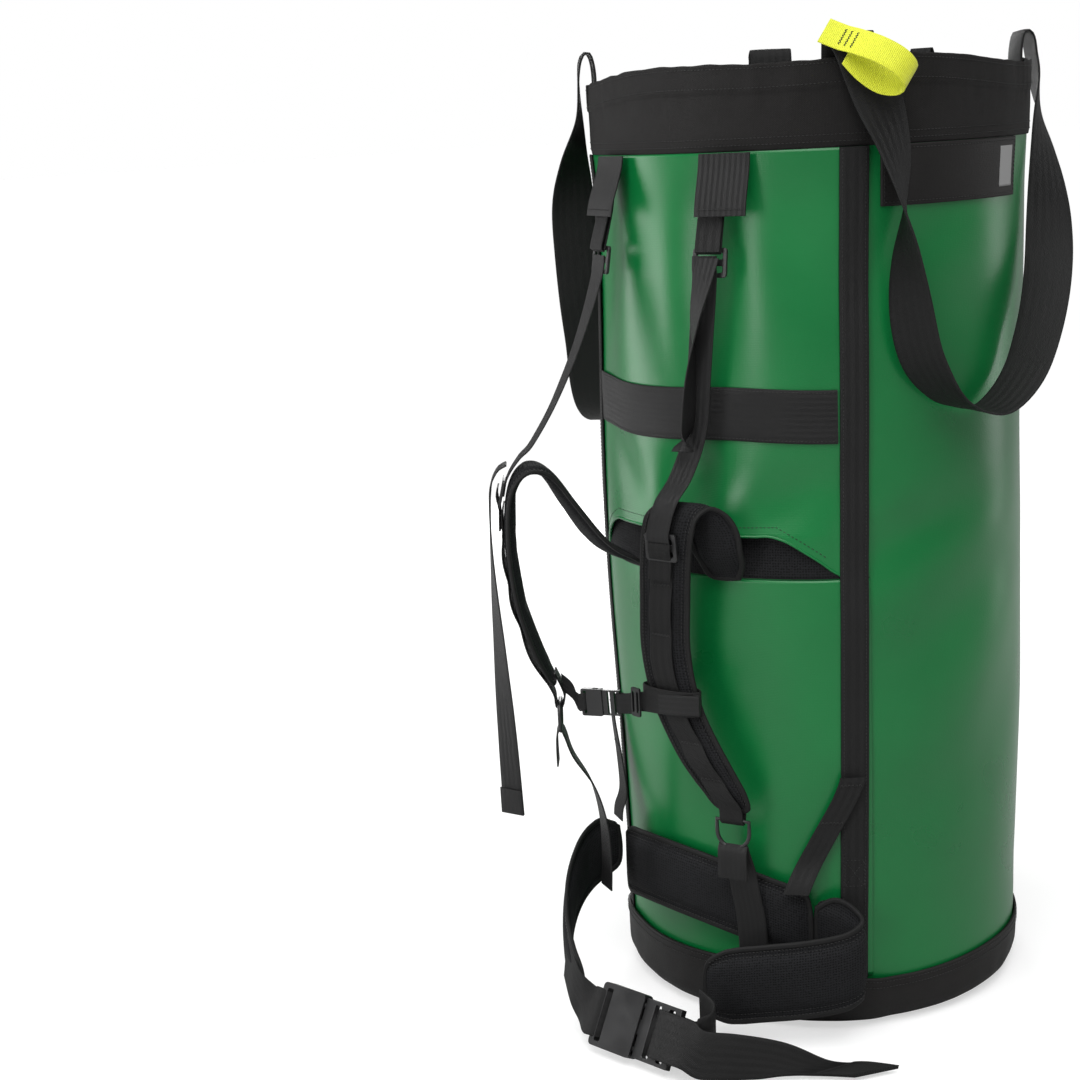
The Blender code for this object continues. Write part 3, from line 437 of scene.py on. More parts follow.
BLACK_PLASTIC = moulded(
    "buckle_plastic", "black_plastic", (0.0120, 0.0120, 0.0125), (0.0230, 0.0230, 0.0240), (0.30, 0.42),
    0.00004, Specular_IOR_Level=0.55)
BLACK_THREAD = moulded("black_thread", "black_webbing", grey(0.012), grey(0.040), (0.5, 0.7), 0.00010)
GREY_PRINT = coated_fabric("grey_patch", "black_pvc", grey(0.22), grey(0.33), (0.42, 0.55), 700.0, 0.00008)
BASE_BOARD = moulded("base_board", None, grey(0.030), grey(0.060), (0.7, 0.9), 0.00030)

# Kinds of strap: width, thickness and finish.
THIN_STRAP = (STRAP_WIDTH, THIN_WEB, BLACK_WEBBING)
FLAT_STRAP = (STRAP_WIDTH, THIN_WEB, FLAT_WEBBING)
THICK_STRAP = (STRAP_WIDTH, WEB, BLACK_WEBBING)
BELT = (BELT_WIDTH, WEB, BLACK_WEBBING)


# ---- builders -----------------------------------------------------------------------------------
def link_object(name, data):
    obj = bpy.data.objects.new(name, data)
    bpy.context.scene.collection.objects.link(obj)
    return obj


def mapped_grid(columns, rows, place, uv):
    """A grid of columns x rows points, each moved to place(column, row), with its uv in metres."""
    bm = bmesh.new()
    layer = bm.loops.layers.uv.new("UVMap")
    bmesh.ops.create_grid(bm, x_segments=columns - 1, y_segments=rows - 1, size=0.5)
    index = {}
    for vertex in bm.verts:
        column = round((vertex.co.x + 0.5) * (columns - 1))
        index[vertex] = (column, round((vertex.co.y + 0.5) * (rows - 1)))
    for face in bm.faces:
        for loop in face.loops:
            loop[layer].uv = uv(*index[loop.vert])
    for vertex, (column, row) in index.items():
        vertex.co = place(column, row)
    return bm


def add_piece(name, bm, finish, body, nodes="", smooth_angle=50, slot=None):
    """A piece that rides a body and stands for the named nodes; its slot is worked out but not kept."""
    mesh = bpy.data.meshes.new(name)
    bm.to_mesh(mesh)
    bm.free()
    obj = link_object(name, mesh)
    mesh.materials.append(finish)
    mesh.shade_smooth()
    mesh.set_sharp_from_angle(angle=math.radians(smooth_angle))
    if body:
        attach(obj, body)
    if nodes:
        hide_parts(*nodes.split())
    slot or SLOT_OF[finish.name]
    return obj


def add_sheet(name, bm, finish, nodes, thickness, offset):
    """An open sheet on the bag, turned to face away from its axis and given its thickness."""
    bm.normal_update()
    total = 0.0
    for face in bm.faces:
        middle = face.calc_center_median()
        total += face.normal.dot(Vector((middle.x, middle.y, 0.0)))
    if total < 0:
        bmesh.ops.reverse_faces(bm, faces=bm.faces)
    obj = add_piece(name, bm, finish, "bag", nodes, 180)
    modifier = obj.modifiers.new("thickness", "SOLIDIFY")
    modifier.thickness = thickness
    modifier.offset = offset
    return obj


def wrap(name, nodes, columns, rows, place, finish, thickness, offset):
    """A sheet that goes all the way round the bag: place(azimuth, share of the height)."""
    def spot(i, j):
        return place(TURN * i / columns, j / (rows - 1))

    def flat(i, j):
        return math.radians(TURN * i / columns) * MID_RADIUS, spot(i % columns, j).z

    bm = mapped_grid(columns + 1, rows, spot, flat)
    bmesh.ops.remove_doubles(bm, verts=bm.verts, dist=0.00002)
    return add_sheet(name, bm, finish, nodes, thickness, offset)


def patch(name, nodes, azimuths, heights, proud, thickness, finish, columns, rows):
    """A sheet sewn on the fabric between two azimuths; heights(azimuth) gives its low and high edge."""
    first, last = azimuths

    def spot(i, j):
        azimuth = first + (last - first) * i / (columns - 1)
        low, high = heights(azimuth)
        height = low + (high - low) * j / (rows - 1)
        return on_fabric(azimuth, height, proud(azimuth, height))

    def flat(i, j):
        azimuth = first + (last - first) * i / (columns - 1)
        return math.radians(azimuth) * MID_RADIUS, spot(i, j).z

    return add_sheet(name, mapped_grid(columns, rows, spot, flat), finish, nodes, thickness, 1.0)


def band_outline(width, thickness, across=8, bow=0.0):
    """Once round a flat band with rounded selvedges, as (across, through); bow lifts its middle."""
    r = thickness / 2
    flat = width / 2 - r
    face = [-flat + 2 * flat * i / across for i in range(across + 1)]
    lift = [bow * (1 - (x / flat) ** 2) for x in face]
    top = [(x, r + h) for x, h in zip(face, lift)]
    bottom = [(x, h - r) for x, h in zip(reversed(face), reversed(lift))]
    right = [(flat + r * math.sin(math.radians(a)), r * math.cos(math.radians(a))) for a in (45, 90, 135)]
    left = [(-x, -y) for x, y in right]
    return top + right + bottom + left


def pad_outline(width, thickness, across=18):
    """Once round a padded strap: thin bound edges, a sewn groove inside them and a crowned middle."""
    half = width / 2
    xs = [half * math.sin(math.pi * (i / across - 0.5)) for i in range(across + 1)]

    def rise(x):
        edge = abs(x) / half
        crown = (1 - edge ** 4) * thickness / 2
        groove = 0.0011 * math.exp(-((edge - 0.76) / 0.045) ** 2)
        return max(0.0011, crown * (1 - 0.45 * smooth(0.70, 0.80, edge)) - groove)

    top = [(x, rise(x)) for x in xs]
    return top + [(x, -y) for x, y in reversed(top[1:-1])]


def swept(name, nodes, route, outline, finish, body, pitch=0.004, ripple=0.0003):
    """A closed strip along a route. outline(share) gives the loop of (across, through) points round it."""
    rows = max(3, round(route.length / pitch) + 1)
    around_count = len(outline(0.0))

    def spot(i, j):
        share = j / (rows - 1)
        distance = route.length * share
        middle, side, normal = route.at(distance)
        x, y = outline(share)[i % around_count]
        rippled = ripple * noise.noise(Vector((distance * 26, x * 30, route.length * 9)))
        return middle + side * x + normal * (y + rippled)

    def flat(i, j):
        return outline(j / (rows - 1))[i % around_count][0], route.length * j / (rows - 1)

    bm = mapped_grid(around_count + 1, rows, spot, flat)
    bmesh.ops.remove_doubles(bm, verts=bm.verts, dist=0.00001)
    bmesh.ops.holes_fill(bm, edges=[edge for edge in bm.edges if edge.is_boundary])
    bmesh.ops.recalc_face_normals(bm, faces=bm.faces)
    return add_piece(name, bm, finish, body, nodes)


def webbing(name, nodes, points, sides, kind, body="bag", out=None, ripple=0.0003):
    """A strap through its points. It returns the piece and its route, for what is sewn on it."""
    width, thickness, finish = kind
    route = Route(points, sides, out)
    outline = band_outline(width, thickness)
    return swept(name, nodes, route, lambda share: outline, finish, body, ripple=ripple), route


def spots(rows):
    """Places given as (x, y, z)."""
    return [Vector([value / MM for value in row]) for row in rows]


def places(rows):
    """Places given as (azimuth, height, proud), and any more that isn't used here."""
    return [on_bag(row[0], row[1] / MM, row[2] / MM) for row in rows]


def stations(rows):
    """Places and width directions of a strap given as (azimuth, height, proud)."""
    return places(rows), [around(row[0]) for row in rows]


# ---- sewing -------------------------------------------------------------------------------------
STITCH = 0.0030              # length of one stitch
STITCH_PITCH = 0.0036
THREAD = 0.00038             # half the thread's thickness
ON_WEB = WEB / 2 + 0.0001    # a seam's height off the middle of thick webbing
TACK_ON_WEB = WEB / 2 + 0.0002
TACK_ON_THIN = THIN_WEB / 2 + 0.0002


class Sewing:
    """The threads of one body's seams, gathered in one mesh."""

    def __init__(self, name, body="bag", slot="black_webbing"):
        self.name = name
        self.body = body
        self.slot = slot
        self.bm = bmesh.new()

    def stitch(self, place, along, normal, length=STITCH, thread=THREAD):
        side = normal.cross(along).normalized()
        turn = Matrix((along * (length / 2), side * thread, normal * thread)).transposed().to_4x4()
        placed = Matrix.Translation(place) @ turn
        bmesh.ops.create_icosphere(self.bm, subdivisions=1, radius=1.0, matrix=placed)

    def line(self, frame_of, length, start=0.0):
        """Stitches along a line; frame_of(distance) gives place, along and normal."""
        for i in range(int((length - start) / STITCH_PITCH)):
            self.stitch(*frame_of(start + STITCH_PITCH * (i + 0.5)))

    def ring(self, place_of, first=0.0, last=TURN):
        """Stitches round the bag between two azimuths."""
        count = int(math.radians(last - first) * MID_RADIUS / STITCH_PITCH)
        step = (last - first) / count / 2
        for i in range(count):
            azimuth = first + (last - first) * (i + 0.5) / count
            along = (place_of(azimuth + step) - place_of(azimuth - step)).normalized()
            self.stitch(place_of(azimuth), along, outward(azimuth))

    def down_strap(self, route, across, lift):
        self.line(lambda d: route.frame_at(d, across, lift), route.length)

    def bar_tack(self, route, distance, width, lift, deep=0.003, turns=12):
        """A dense zigzag across a strap."""
        for i in range(turns):
            across = width * ((i + 0.5) / turns - 0.5)
            place, along, normal = route.frame_at(distance, across, lift)
            side = normal.cross(along)
            lean = (along * deep + side * (width / turns * (1 if i % 2 else -1))).normalized()
            self.stitch(place, lean, normal, deep * 1.15, THREAD * 1.2)

    def box_cross(self, route, start, end, width, lift):
        """A box of stitching with an X in it."""
        half = width / 2
        corners = [(start, -half), (start, half), (end, half), (end, -half)]
        runs = [*zip(corners, corners[1:] + corners[:1]), (corners[0], corners[2]), (corners[1], corners[3])]
        for (d0, x0), (d1, x1) in runs:
            length = math.hypot(d1 - d0, x1 - x0)
            for k in range(max(1, int(length / STITCH_PITCH))):
                share = (k + 0.5) * STITCH_PITCH / length
                distance, across = d0 + (d1 - d0) * share, x0 + (x1 - x0) * share
                place, along, normal = route.frame_at(distance, across, lift)
                way = along * (d1 - d0) + route.at(distance)[1] * (x1 - x0)
                self.stitch(place, way.normalized(), normal)

    def done(self):
        return add_piece(self.name, self.bm, BLACK_THREAD, self.body, "", 180, self.slot)


# ---- tube, base and collar ----------------------------------------------------------------------
SHEET_SEAM = 182.0           # azimuth of the tube's own lapped seam
SEAM_LAP = 4.0
TUBE_FOOT = 0.030
FOOT = 0.024                 # radius of the boot's rounded foot
HEM = 0.024                  # depth of the collar's folded top hem


def make_tube():
    def place(azimuth, share):
        height = TUBE_FOOT + (SHELL_TOP - TUBE_FOOT) * share
        lap = smooth(SHEET_SEAM - SEAM_LAP - 0.5, SHEET_SEAM - SEAM_LAP, azimuth)
        lap *= 1 - smooth(SHEET_SEAM - 0.4, SHEET_SEAM, azimuth)
        return on_fabric(azimuth, height, 0.0010 * lap)

    wrap("tube", "body_shell", 288, 190, place, GREEN_PVC, SHELL_WALL, -1.0)
    seams = Sewing("tube_seam_threads", slot="green_pvc")
    low = 0.08
    for azimuth in (SHEET_SEAM - 0.8, SHEET_SEAM - 2.2):
        out = outward(azimuth)
        seams.line(lambda d: (on_fabric(azimuth, low + d, 0.0012), UP, out), SEAM_HEIGHT - low)
    seams.done()
    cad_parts["base_disc"].data.materials.clear()
    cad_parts["base_disc"].data.materials.append(BASE_BOARD)


def boot_edge(azimuth):
    """The boot's sewn top edge rises on the harness side, where it covers the panel's foot."""
    rise = 1 - smooth(24.0, 60.0, abs(half_turn(azimuth) + 4.0))
    return BOOT_HEIGHT + 0.013 * rise + 0.0016 * math.sin(math.radians(azimuth * 5)) + 0.001


def boot_proud(azimuth):
    return 0.0030 + 0.0036 * (1 - smooth(49.0, 56.0, abs(half_turn(azimuth))))


def make_boot():
    side, turn, floor = 0.40, 0.35, 0.25

    def place(azimuth, share):
        out = outward(azimuth)
        wide = BASE_RADIUS + boot_proud(azimuth)
        crumple = 0.0012 * noise.noise(out * 9 + UP * share * 4)
        if share < floor:
            return out * ((wide - FOOT) * share / floor + 0.0004)
        if share < floor + turn:
            angle = math.radians(90 * (share - floor) / turn)
            radius = wide - FOOT + FOOT * math.sin(angle)
            return out * (radius + crumple * math.sin(angle)) + UP * (FOOT * (1 - math.cos(angle)))
        climb = (share - floor - turn) / side
        hem = 0.0006 * smooth(0.55, 0.65, climb)
        height = FOOT + (boot_edge(azimuth) - FOOT) * climb
        return out * (wide + crumple * (1 - climb) + hem) + UP * height

    wrap("boot", "base_boot", 216, 44, place, BLACK_PVC, 0.0024, -1.0)
    seams = Sewing("boot_threads", slot="black_pvc")
    for below in (0.0035, 0.0095):
        seams.ring(
            lambda a: outward(a) * (BASE_RADIUS + boot_proud(a) + 0.0010) + UP * (boot_edge(a) - below))
    seams.done()


def collar_face(azimuth, height):
    """Radius of the collar's inner face: puckered along the hem, slack below it."""
    base = RIM_RADIUS if height > RIM_HEIGHT else tube_radius(height)
    where = outward(azimuth) * 8.0 + UP * height * 11
    pucker = 0.0016 * noise.noise(where) + 0.0009 * noise.noise(where * 2.7)
    return base + SEWN_GAP + pucker * smooth(SHELL_TOP, 0.90, height) - dent(azimuth, height)


def make_collar():
    def place(azimuth, share):
        top = rim_height(azimuth) + 0.0015 * noise.noise(outward(azimuth) * 12)
        height = SEAM_HEIGHT + (top - SEAM_HEIGHT) * share
        fold = 0.0011 * smooth(top - HEM - 0.0015, top - HEM, height)
        tuck = 0.0008 * (1 - smooth(SEAM_HEIGHT, SEAM_HEIGHT + 0.006, height))
        return outward(azimuth) * (collar_face(azimuth, height) + fold - tuck) + UP * height

    def on_collar(azimuth, height, proud):
        return outward(azimuth) * (collar_face(azimuth, height) + COLLAR_WALL + proud) + UP * height

    wrap("collar_sleeve", "collar", 300, 40, place, COLLAR_NYLON, COLLAR_WALL, 1.0)
    seams = Sewing("collar_threads", slot="black_nylon")
    for above in (0.0050, 0.0110):
        seams.ring(lambda a: on_collar(a, SEAM_HEIGHT + above, 0.0002))
    for below in (HEM - 0.0030, 0.0040):
        seams.ring(lambda a: on_collar(a, rim_height(a) - below, 0.0013))
    seams.done()


# ---- harness panels and sewn trim ---------------------------------------------------------------
def panel_lip(azimuth):
    """The upper panel's free edge arches over the shoulder pads."""
    right = max(0.0, 1.0 - (azimuth / 42.0) ** 2)
    return 0.458 + 0.042 * min(1.0, 1.6 * right)


def panel_lift(azimuth, height):
    middle = max(0.0, 1.0 - (azimuth / 40.0) ** 2)
    near_edge = max(0.0, 1.0 - (height - 0.50) / 0.07)
    return LAYER_1 + 0.014 * middle * min(1.0, near_edge) ** 2


def sewn_flat(azimuth, height):
    return LAYER_1


def make_panels():
    side = EDGE_AZ + 4.0
    top = SEAM_HEIGHT - SEWN_GAP
    upper = patch("harness_panel_top", "harness_panel_upper", (-side, side), lambda a: (panel_lip(a), top),
                  panel_lift, SHEET, GREEN_PVC, 130, 130)
    lower = patch("harness_panel_bottom", "harness_panel_lower", (-side, side),
                  lambda a: (BOOT_HEIGHT + 0.004, 0.457), sewn_flat, SHEET, GREEN_PVC, 110, 120)
    azimuths = [-side + 0.5 + (2 * side - 1) * i / 24 for i in range(25)]
    lip = [on_fabric(a, panel_lip(a) + 0.0008, panel_lift(a, panel_lip(a)) + SHEET / 2) for a in azimuths]
    webbing("panel_lip_edge", "", lip, [outward(a) for a in azimuths], (0.0034, 0.0026, GREEN_PVC))
    lining = patch("stowage_lining", "", (-EDGE_AZ, EDGE_AZ), lambda a: (0.4585, 0.53), sewn_flat, 0.0010,
                   PADDING, 60, 20)
    seams = Sewing("panel_threads", slot="green_pvc")

    def lip_seam(azimuth):
        height = panel_lip(azimuth) + 0.009
        return on_fabric(azimuth, height, panel_lift(azimuth, height) + SHEET + 0.0002)

    seams.ring(lip_seam, -38, 38)
    seams.done()


def edge_azimuth(height, side):
    """The edge webbings lean in a little towards the foot."""
    return side * (43.6 + 2.6 * (height - BOOT_HEIGHT) / (SEAM_HEIGHT - BOOT_HEIGHT))


def make_sewn_webbing():
    low, high = BOOT_HEIGHT + 0.002, SEAM_HEIGHT - 0.0005
    seams = Sewing("trim_threads")
    heights = [low + (high - low) * i / 60 for i in range(61)]
    lift = LAYER_2 + WEB / 2 - 0.0002
    for name, side in (("right", 1.0), ("left", -1.0)):
        azimuths = [edge_azimuth(z, side) for z in heights]
        points = [on_fabric(a, z, lift) for a, z in zip(azimuths, heights)]
        _, route = webbing(f"edge_band_{name}", f"edge_webbing_{name}", points, [around(a) for a in azimuths],
                           (EDGE_WIDTH, WEB, BLACK_WEBBING))
        for across in (-0.0105, 0.0105):
            seams.down_strap(route, across, ON_WEB)
        seams.box_cross(route, 0.098, 0.125, 0.019, ON_WEB)
    azimuths = [-41.3 + 82.6 * i / 60 for i in range(61)]
    points = [on_fabric(a, 0.613 + 0.0016 * math.sin(a / 9), lift) for a in azimuths]
    _, route = webbing("cross_band_webbing", "cross_band", points, [UP] * len(points),
                       (BAND_WIDTH, WEB, FLAT_WEBBING))
    for across in (-0.0225, 0.0225):
        seams.down_strap(route, across, ON_WEB)
    seams.done()


def make_label():
    first, last = 52.7, 99.8
    low, high = 0.7985, SEAM_HEIGHT - SEWN_GAP
    seam_lift = LAYER_1 + SHEET + 0.0010

    def lift(azimuth, height):
        return LAYER_1 + 0.0007 * smooth(0.0, 0.5, min(abs(azimuth - first), abs(azimuth - last)) / 2)

    label = patch("blank_label", "label_patch", (first, last), lambda a: (low, high), lift, SHEET, BLACK_PVC,
                  90, 30)
    patch("label_blank_window", "", (90.6, 97.2), lambda a: (0.8075, 0.8445),
          lambda a, z: LAYER_1 + SHEET + 0.0006, 0.0003, GREY_PRINT, 20, 20)
    seams = Sewing("label_threads", slot="black_pvc")
    for height in (low + 0.0035, high - 0.0035):
        seams.ring(lambda a: on_fabric(a, height, seam_lift), 53.6, 98.9)
    for azimuth in (53.6, 98.9):
        out = outward(azimuth)
        seams.line(lambda d: (on_fabric(azimuth, low + 0.0035 + d, seam_lift), UP, out), 0.047)
    seams.done()


# ---- handles, closure and flaps -----------------------------------------------------------------
RIM_FRONT = (
    (45, 874, -4.2, 0), (45, 900, -4.2, 0), (45, 930, -4, 0), (45, 947, -1, 0), (45, 950, 4, 0),
    (45.3, 944, 8.5, 0),
)
RIM_REAR = (
    (134.5, 930, 11, 0), (134.8, 944, 8.5, 0), (135, 950, 4, 0), (135, 947, -1, 0), (135, 930, -4, 0),
    (135, 900, -4.2, 0), (135, 874, -4.2, 0),
)
HANDLE_ROUTES = {      # azimuth, height, proud and how many quarter turns the strap has made
    "right": (
        *RIM_FRONT, (47.5, 930, 10.5, 0), (51, 895, 11.5, 0.05), (54.3, 850, 19, 0.35),
        (55.6, 800, 26.5, 0.72), (56, 750, 26.5, 1.15), (57, 700, 27.5, 1.42), (59.5, 660, 27.5, 1.4),
        (65, 628, 26.5, 1.15), (71, 613, 25.8, 1), (78, 608, 25, 0.97), (85, 619, 25, 0.95),
        (92, 640, 25, 0.95), (98, 670, 25, 0.95), (104, 705, 24.5, 0.93), (110, 745, 22.5, 0.85),
        (117, 795, 19, 0.62), (124, 845, 15, 0.35), (130.5, 895, 13, 0.05), *RIM_REAR,
    ),
    "left": (
        *RIM_FRONT, (47, 930, 10.5, 0), (50, 895, 12, 0.05), (53.5, 850, 19.5, 0.35), (57, 800, 24, 0.75),
        (60, 750, 25, 0.85), (62.5, 700, 24.5, 0.8), (65, 655, 23, 0.8), (67.5, 615, 24, 0.85),
        (71, 585, 24.5, 0.95), (77, 567, 25, 1), (84, 566, 25, 1), (91, 582, 25, 1), (97, 615, 25, 1),
        (103, 665, 25, 1), (109, 720, 24.5, 0.9), (116, 780, 21, 0.7), (123, 840, 16, 0.4),
        (130, 895, 13, 0.1), *RIM_REAR,
    ),
}


def handle_route(rows):
    """Up inside the collar, over the rim, down with a turn, level below and back up behind."""
    points = places(rows)
    sides = []
    for index, (azimuth, _, _, turn) in enumerate(rows):
        inwards = around(azimuth) * (1 if azimuth < 90 else -1)
        if turn:
            inwards = outward(azimuth).cross(points[index + 1] - points[index - 1]).normalized()
        angle = math.radians(90 * turn)
        sides.append(inwards * math.cos(angle) - outward(azimuth) * math.sin(angle))
    return Route(points, sides)


def clip_loop_route():
    """A small webbing loop sewn on the handle's front end; it runs out, folds and comes back below."""
    root = Vector((0.154, -0.163, 0.944))
    along = Vector((0.82, 0.36, -0.45)).normalized()
    side = Vector((0.16, 0.61, 0.78)).normalized()
    face = side.cross(along).normalized()
    if face.y > 0:
        face = -face
    steps = spots((
        (-18, 2, 0), (0, 4, 0), (12, 8, 0), (35, 12.5, 0), (56, 10, -1), (68, 0, -4), (64, -9, -9),
        (48, -10.5, -14), (28, -6, -13), (10, 0, -8)))
    points = [root + along * a + face * b + side * c for a, b, c in steps]
    return Route(points, [side] * len(points), out=Vector((0, -1, 0)))


def make_handles():
    hinge_x = on_bag(HANDLE_AZ, HANDLE_AXIS_Z, 0.0015).x
    outline = band_outline(HAUL_WIDTH, WEB, 10, 0.0006)
    for name, flip in (("right", 1), ("left", -1)):
        route = mirrored(handle_route(HANDLE_ROUTES[name]), (flip, 1, 1))
        nodes = f"haul_strap_{name} haul_tab_{name}_front haul_tab_{name}_rear"
        strap = swept(f"haul_handle_strap_{name}", nodes, route, lambda s: outline, BLACK_WEBBING, None,
                      ripple=0.0008)
        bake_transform(strap)
    loop_outline = band_outline(STRAP_WIDTH, THIN_WEB)
    for name, flip, shift in (("right", (1, 1, 1), (0, 0, 0)), ("left", (-1, -1, 1), REAR_CLIP_SHIFT)):
        body = f"haul_handle_{name}"
        route = mirrored(clip_loop_route(), flip, shift)
        swept(f"clip_loop_strap_{name}", f"clip_loop_{name}", route, lambda s: loop_outline, YELLOW_WEBBING,
              body)
        sewing = Sewing(f"clip_loop_tacks_{name}", body)
        for distance in (0.018, 0.024, 0.030):
            sewing.bar_tack(route, distance, 0.016, TACK_ON_THIN, 0.0024)
        sewing.done()


def make_closure():
    rows = (
        (180, 874, -4.2), (180, 905, -4.2), (180, 930, -3.5), (180, 942.5, 1.5), (180, 936, 7),
        (180, 922, 9.5), (180, 890, 10.5), (180, 850, 11), (180, 800, 8.5), (180, 740, 7.5), (180, 690, 8.8),
    )
    strap, _ = webbing("mouth_strap", "closure_strap closure_anchor", *stations(rows), THICK_STRAP, body=None)
    rim = on_bag(180.0, CLOSURE_AXIS_Z, 0.0015)
    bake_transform(strap)
    fold = stations(((180, 724, 9.8), (180, 705, 10.8), (180, 688, 10.8)))
    webbing("mouth_strap_fold", "", *fold, THICK_STRAP, body="closure_tail")
    sewing = Sewing("mouth_strap_threads", "closure_tail")
    fold_route = Route(*stations(((180, 724, 11.8), (180, 705, 12.6), (180, 688, 12.4))))
    sewing.bar_tack(fold_route, 0.004, 0.020, 0.0002)
    sewing.done()
    tab = stations((
        (0, 874, -4.2), (0, 888, -4.2), (0, 895.5, -3.6), (0, 901.5, -6), (0, 896, -8.4), (0, 886, -8.4),
        (0, 876, -7.8)))
    webbing("mouth_buckle_tab", "closure_tab", *tab, THIN_STRAP, out=(0, -1, 0))


def make_lifter_flaps():
    for name, azimuth in (("right", 15.5), ("left", -22.0)):
        rows = [(azimuth, z, proud) for z, proud in ((852, 6), (840, 8), (825, 13), (809, 18.5), (797, 21))]
        flap, route = webbing(f"flap_{name}", f"lifter_flap_{name}", *stations(rows),
                              (0.050, WEB, FLAT_WEBBING), body=None)
        on_bag(azimuth, 0.8515, 0.0065)
        on_bag(azimuth, 0.8440, 0.0075)
        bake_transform(flap)
        sewing = Sewing(f"flap_threads_{name}", f"flap_{name}")
        sewing.bar_tack(route, route.length - 0.006, 0.044, TACK_ON_WEB, 0.0016, 22)
        sewing.done()


def make_lifter_anchors():
    """The webbing from the collar's seam goes through the ladder lock's top bar and back up."""
    line = (
        (850, 5), (830, 5.2), (805, 8.5), (785, 13.5), (769, 18), (764, 19.5), (766.5, 22.5), (780, 19),
        (800, 13), (820, 8.5),
    )
    for name, azimuth in (("right", 12.5), ("left", -23.5)):
        rows = [(azimuth, z, proud) for z, proud in line]
        webbing(f"lifter_anchor_strap_{name}", f"lifter_anchor_{name}", *stations(rows), THIN_STRAP,
                ripple=0.0002)


# ---- plastic ------------------------------------------------------------------------------------
PLASTIC = {
    "bag": "closure_buckle lifter_buckle_right lifter_buckle_left pad_buckle_right pad_buckle_left "
           "chest_slider chest_socket waist_socket",
    "chest_plug_body": "chest_plug",
    "chest_arm_right_body": "chest_arm_right",
    "chest_arm_left_body": "chest_arm_left",
    "waist_plug_body": "waist_plug",
    "waist_arm_right_body": "waist_arm_right",
    "waist_arm_left_body": "waist_arm_left",
}
RINGS = (
    ("right", on_bag(14.8, 0.2250, 0.0290), 14.8),
    ("left", Vector((-0.1090, -0.2830, 0.3270)), -50.0),
)
RING_HALF = 0.0165           # half the ring's width, and the radius of its bow
RING_DROP = 0.012            # from its straight bar down to where the bow starts


def make_plastic():
    """Each moulded part takes its edges' radius on a merged copy of its frame solid."""
    for name, body in ((name, body) for body, names in PLASTIC.items() for name in names.split()):
        bm = bmesh.new()
        bm.from_mesh(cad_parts[name].data)
        bmesh.ops.remove_doubles(bm, verts=bm.verts, dist=0.00001)
        bmesh.ops.dissolve_limit(bm, angle_limit=math.radians(2), verts=bm.verts, edges=bm.edges)
        bm.loops.layers.uv.verify()
        obj = add_piece(f"{name}_moulding", bm, BLACK_PLASTIC, body, name, 40)
        edge = obj.modifiers.new("edges", "BEVEL")
        edge.width = 0.0011 if name.startswith("waist") else 0.0006
        edge.segments = 3
        edge.limit_method = "ANGLE"
        edge.angle_limit = math.radians(30)
        edge.harden_normals = False


def make_d_rings():
    for name, place, azimuth in RINGS:
        path = [(-RING_HALF, 0.0), (0.0, 0.0), (RING_HALF, 0.0)]
        for k in range(13):
            angle = math.pi * k / 12
            path.append((RING_HALF * math.cos(angle), -RING_DROP - RING_HALF * math.sin(angle)))
        curve = bpy.data.curves.new(f"ring_line_{name}", "CURVE")
        curve.dimensions = "3D"
        curve.bevel_depth = 0.0020
        curve.bevel_resolution = 4
        line = curve.splines.new("POLY")
        line.points.add(len(path) - 1)
        line.use_cyclic_u = True
        for spot, (x, y) in zip(line.points, path):
            spot.co = (*(place + around(azimuth) * x + UP * y), 1.0)
        guide = link_object(f"ring_guide_{name}", curve)
        mesh = bpy.data.meshes.new_from_object(guide.evaluated_get(bpy.context.evaluated_depsgraph_get()))
        bpy.data.objects.remove(guide)
        mesh.name = f"ring_{name}"
        ring = link_object(f"ring_moulding_{name}", mesh)
        mesh.materials.clear()
        mesh.materials.append(BLACK_PLASTIC)
        mesh.shade_smooth()
        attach(ring, f"ring_{name}")
        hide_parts(f"d_ring_{name}")


# ---- shoulder harness ---------------------------------------------------------------------------
RIGHT_PAD = (
    (13, 460, 7.5), (13, 472, 13), (12.8, 490, 24), (12, 512, 29), (9.5, 530, 35), (6.5, 533, 47),
    (5, 515, 53), (3.5, 480, 50), (2, 440, 44), (1, 390, 40), (3, 340, 38), (8, 293, 36), (13.5, 250, 30),
    (15, 236, 28),
)
RIGHT_PAD_TURNS = (13, 13, 13, 12, 10, 8, 6, 5, 4, 4, 5, 8, 12, 14)
LEFT_PAD = (           # x, y, z
    (-60, -213, 460), (-66, -222, 468), (-82, -244, 486), (-96, -268, 524), (-106, -290, 560),
    (-113, -312, 566), (-118, -327, 545), (-119, -330, 495), (-117, -324, 440), (-113, -308, 390),
    (-109, -290, 352),
)
LEFT_PAD_TURNS = (-16, -18, -22, -28, -36, -44, -48, -50, -50, -50, -50)
PAD_TACKS = {          # distances of the bar tacks below the top of the pad's webbing
    "right": (0.022, 0.030, 0.082, 0.148, 0.192, 0.232),
    "left": (0.022, 0.030, 0.075, 0.120),
}


def turned(*azimuths):
    return [around(azimuth) for azimuth in azimuths]


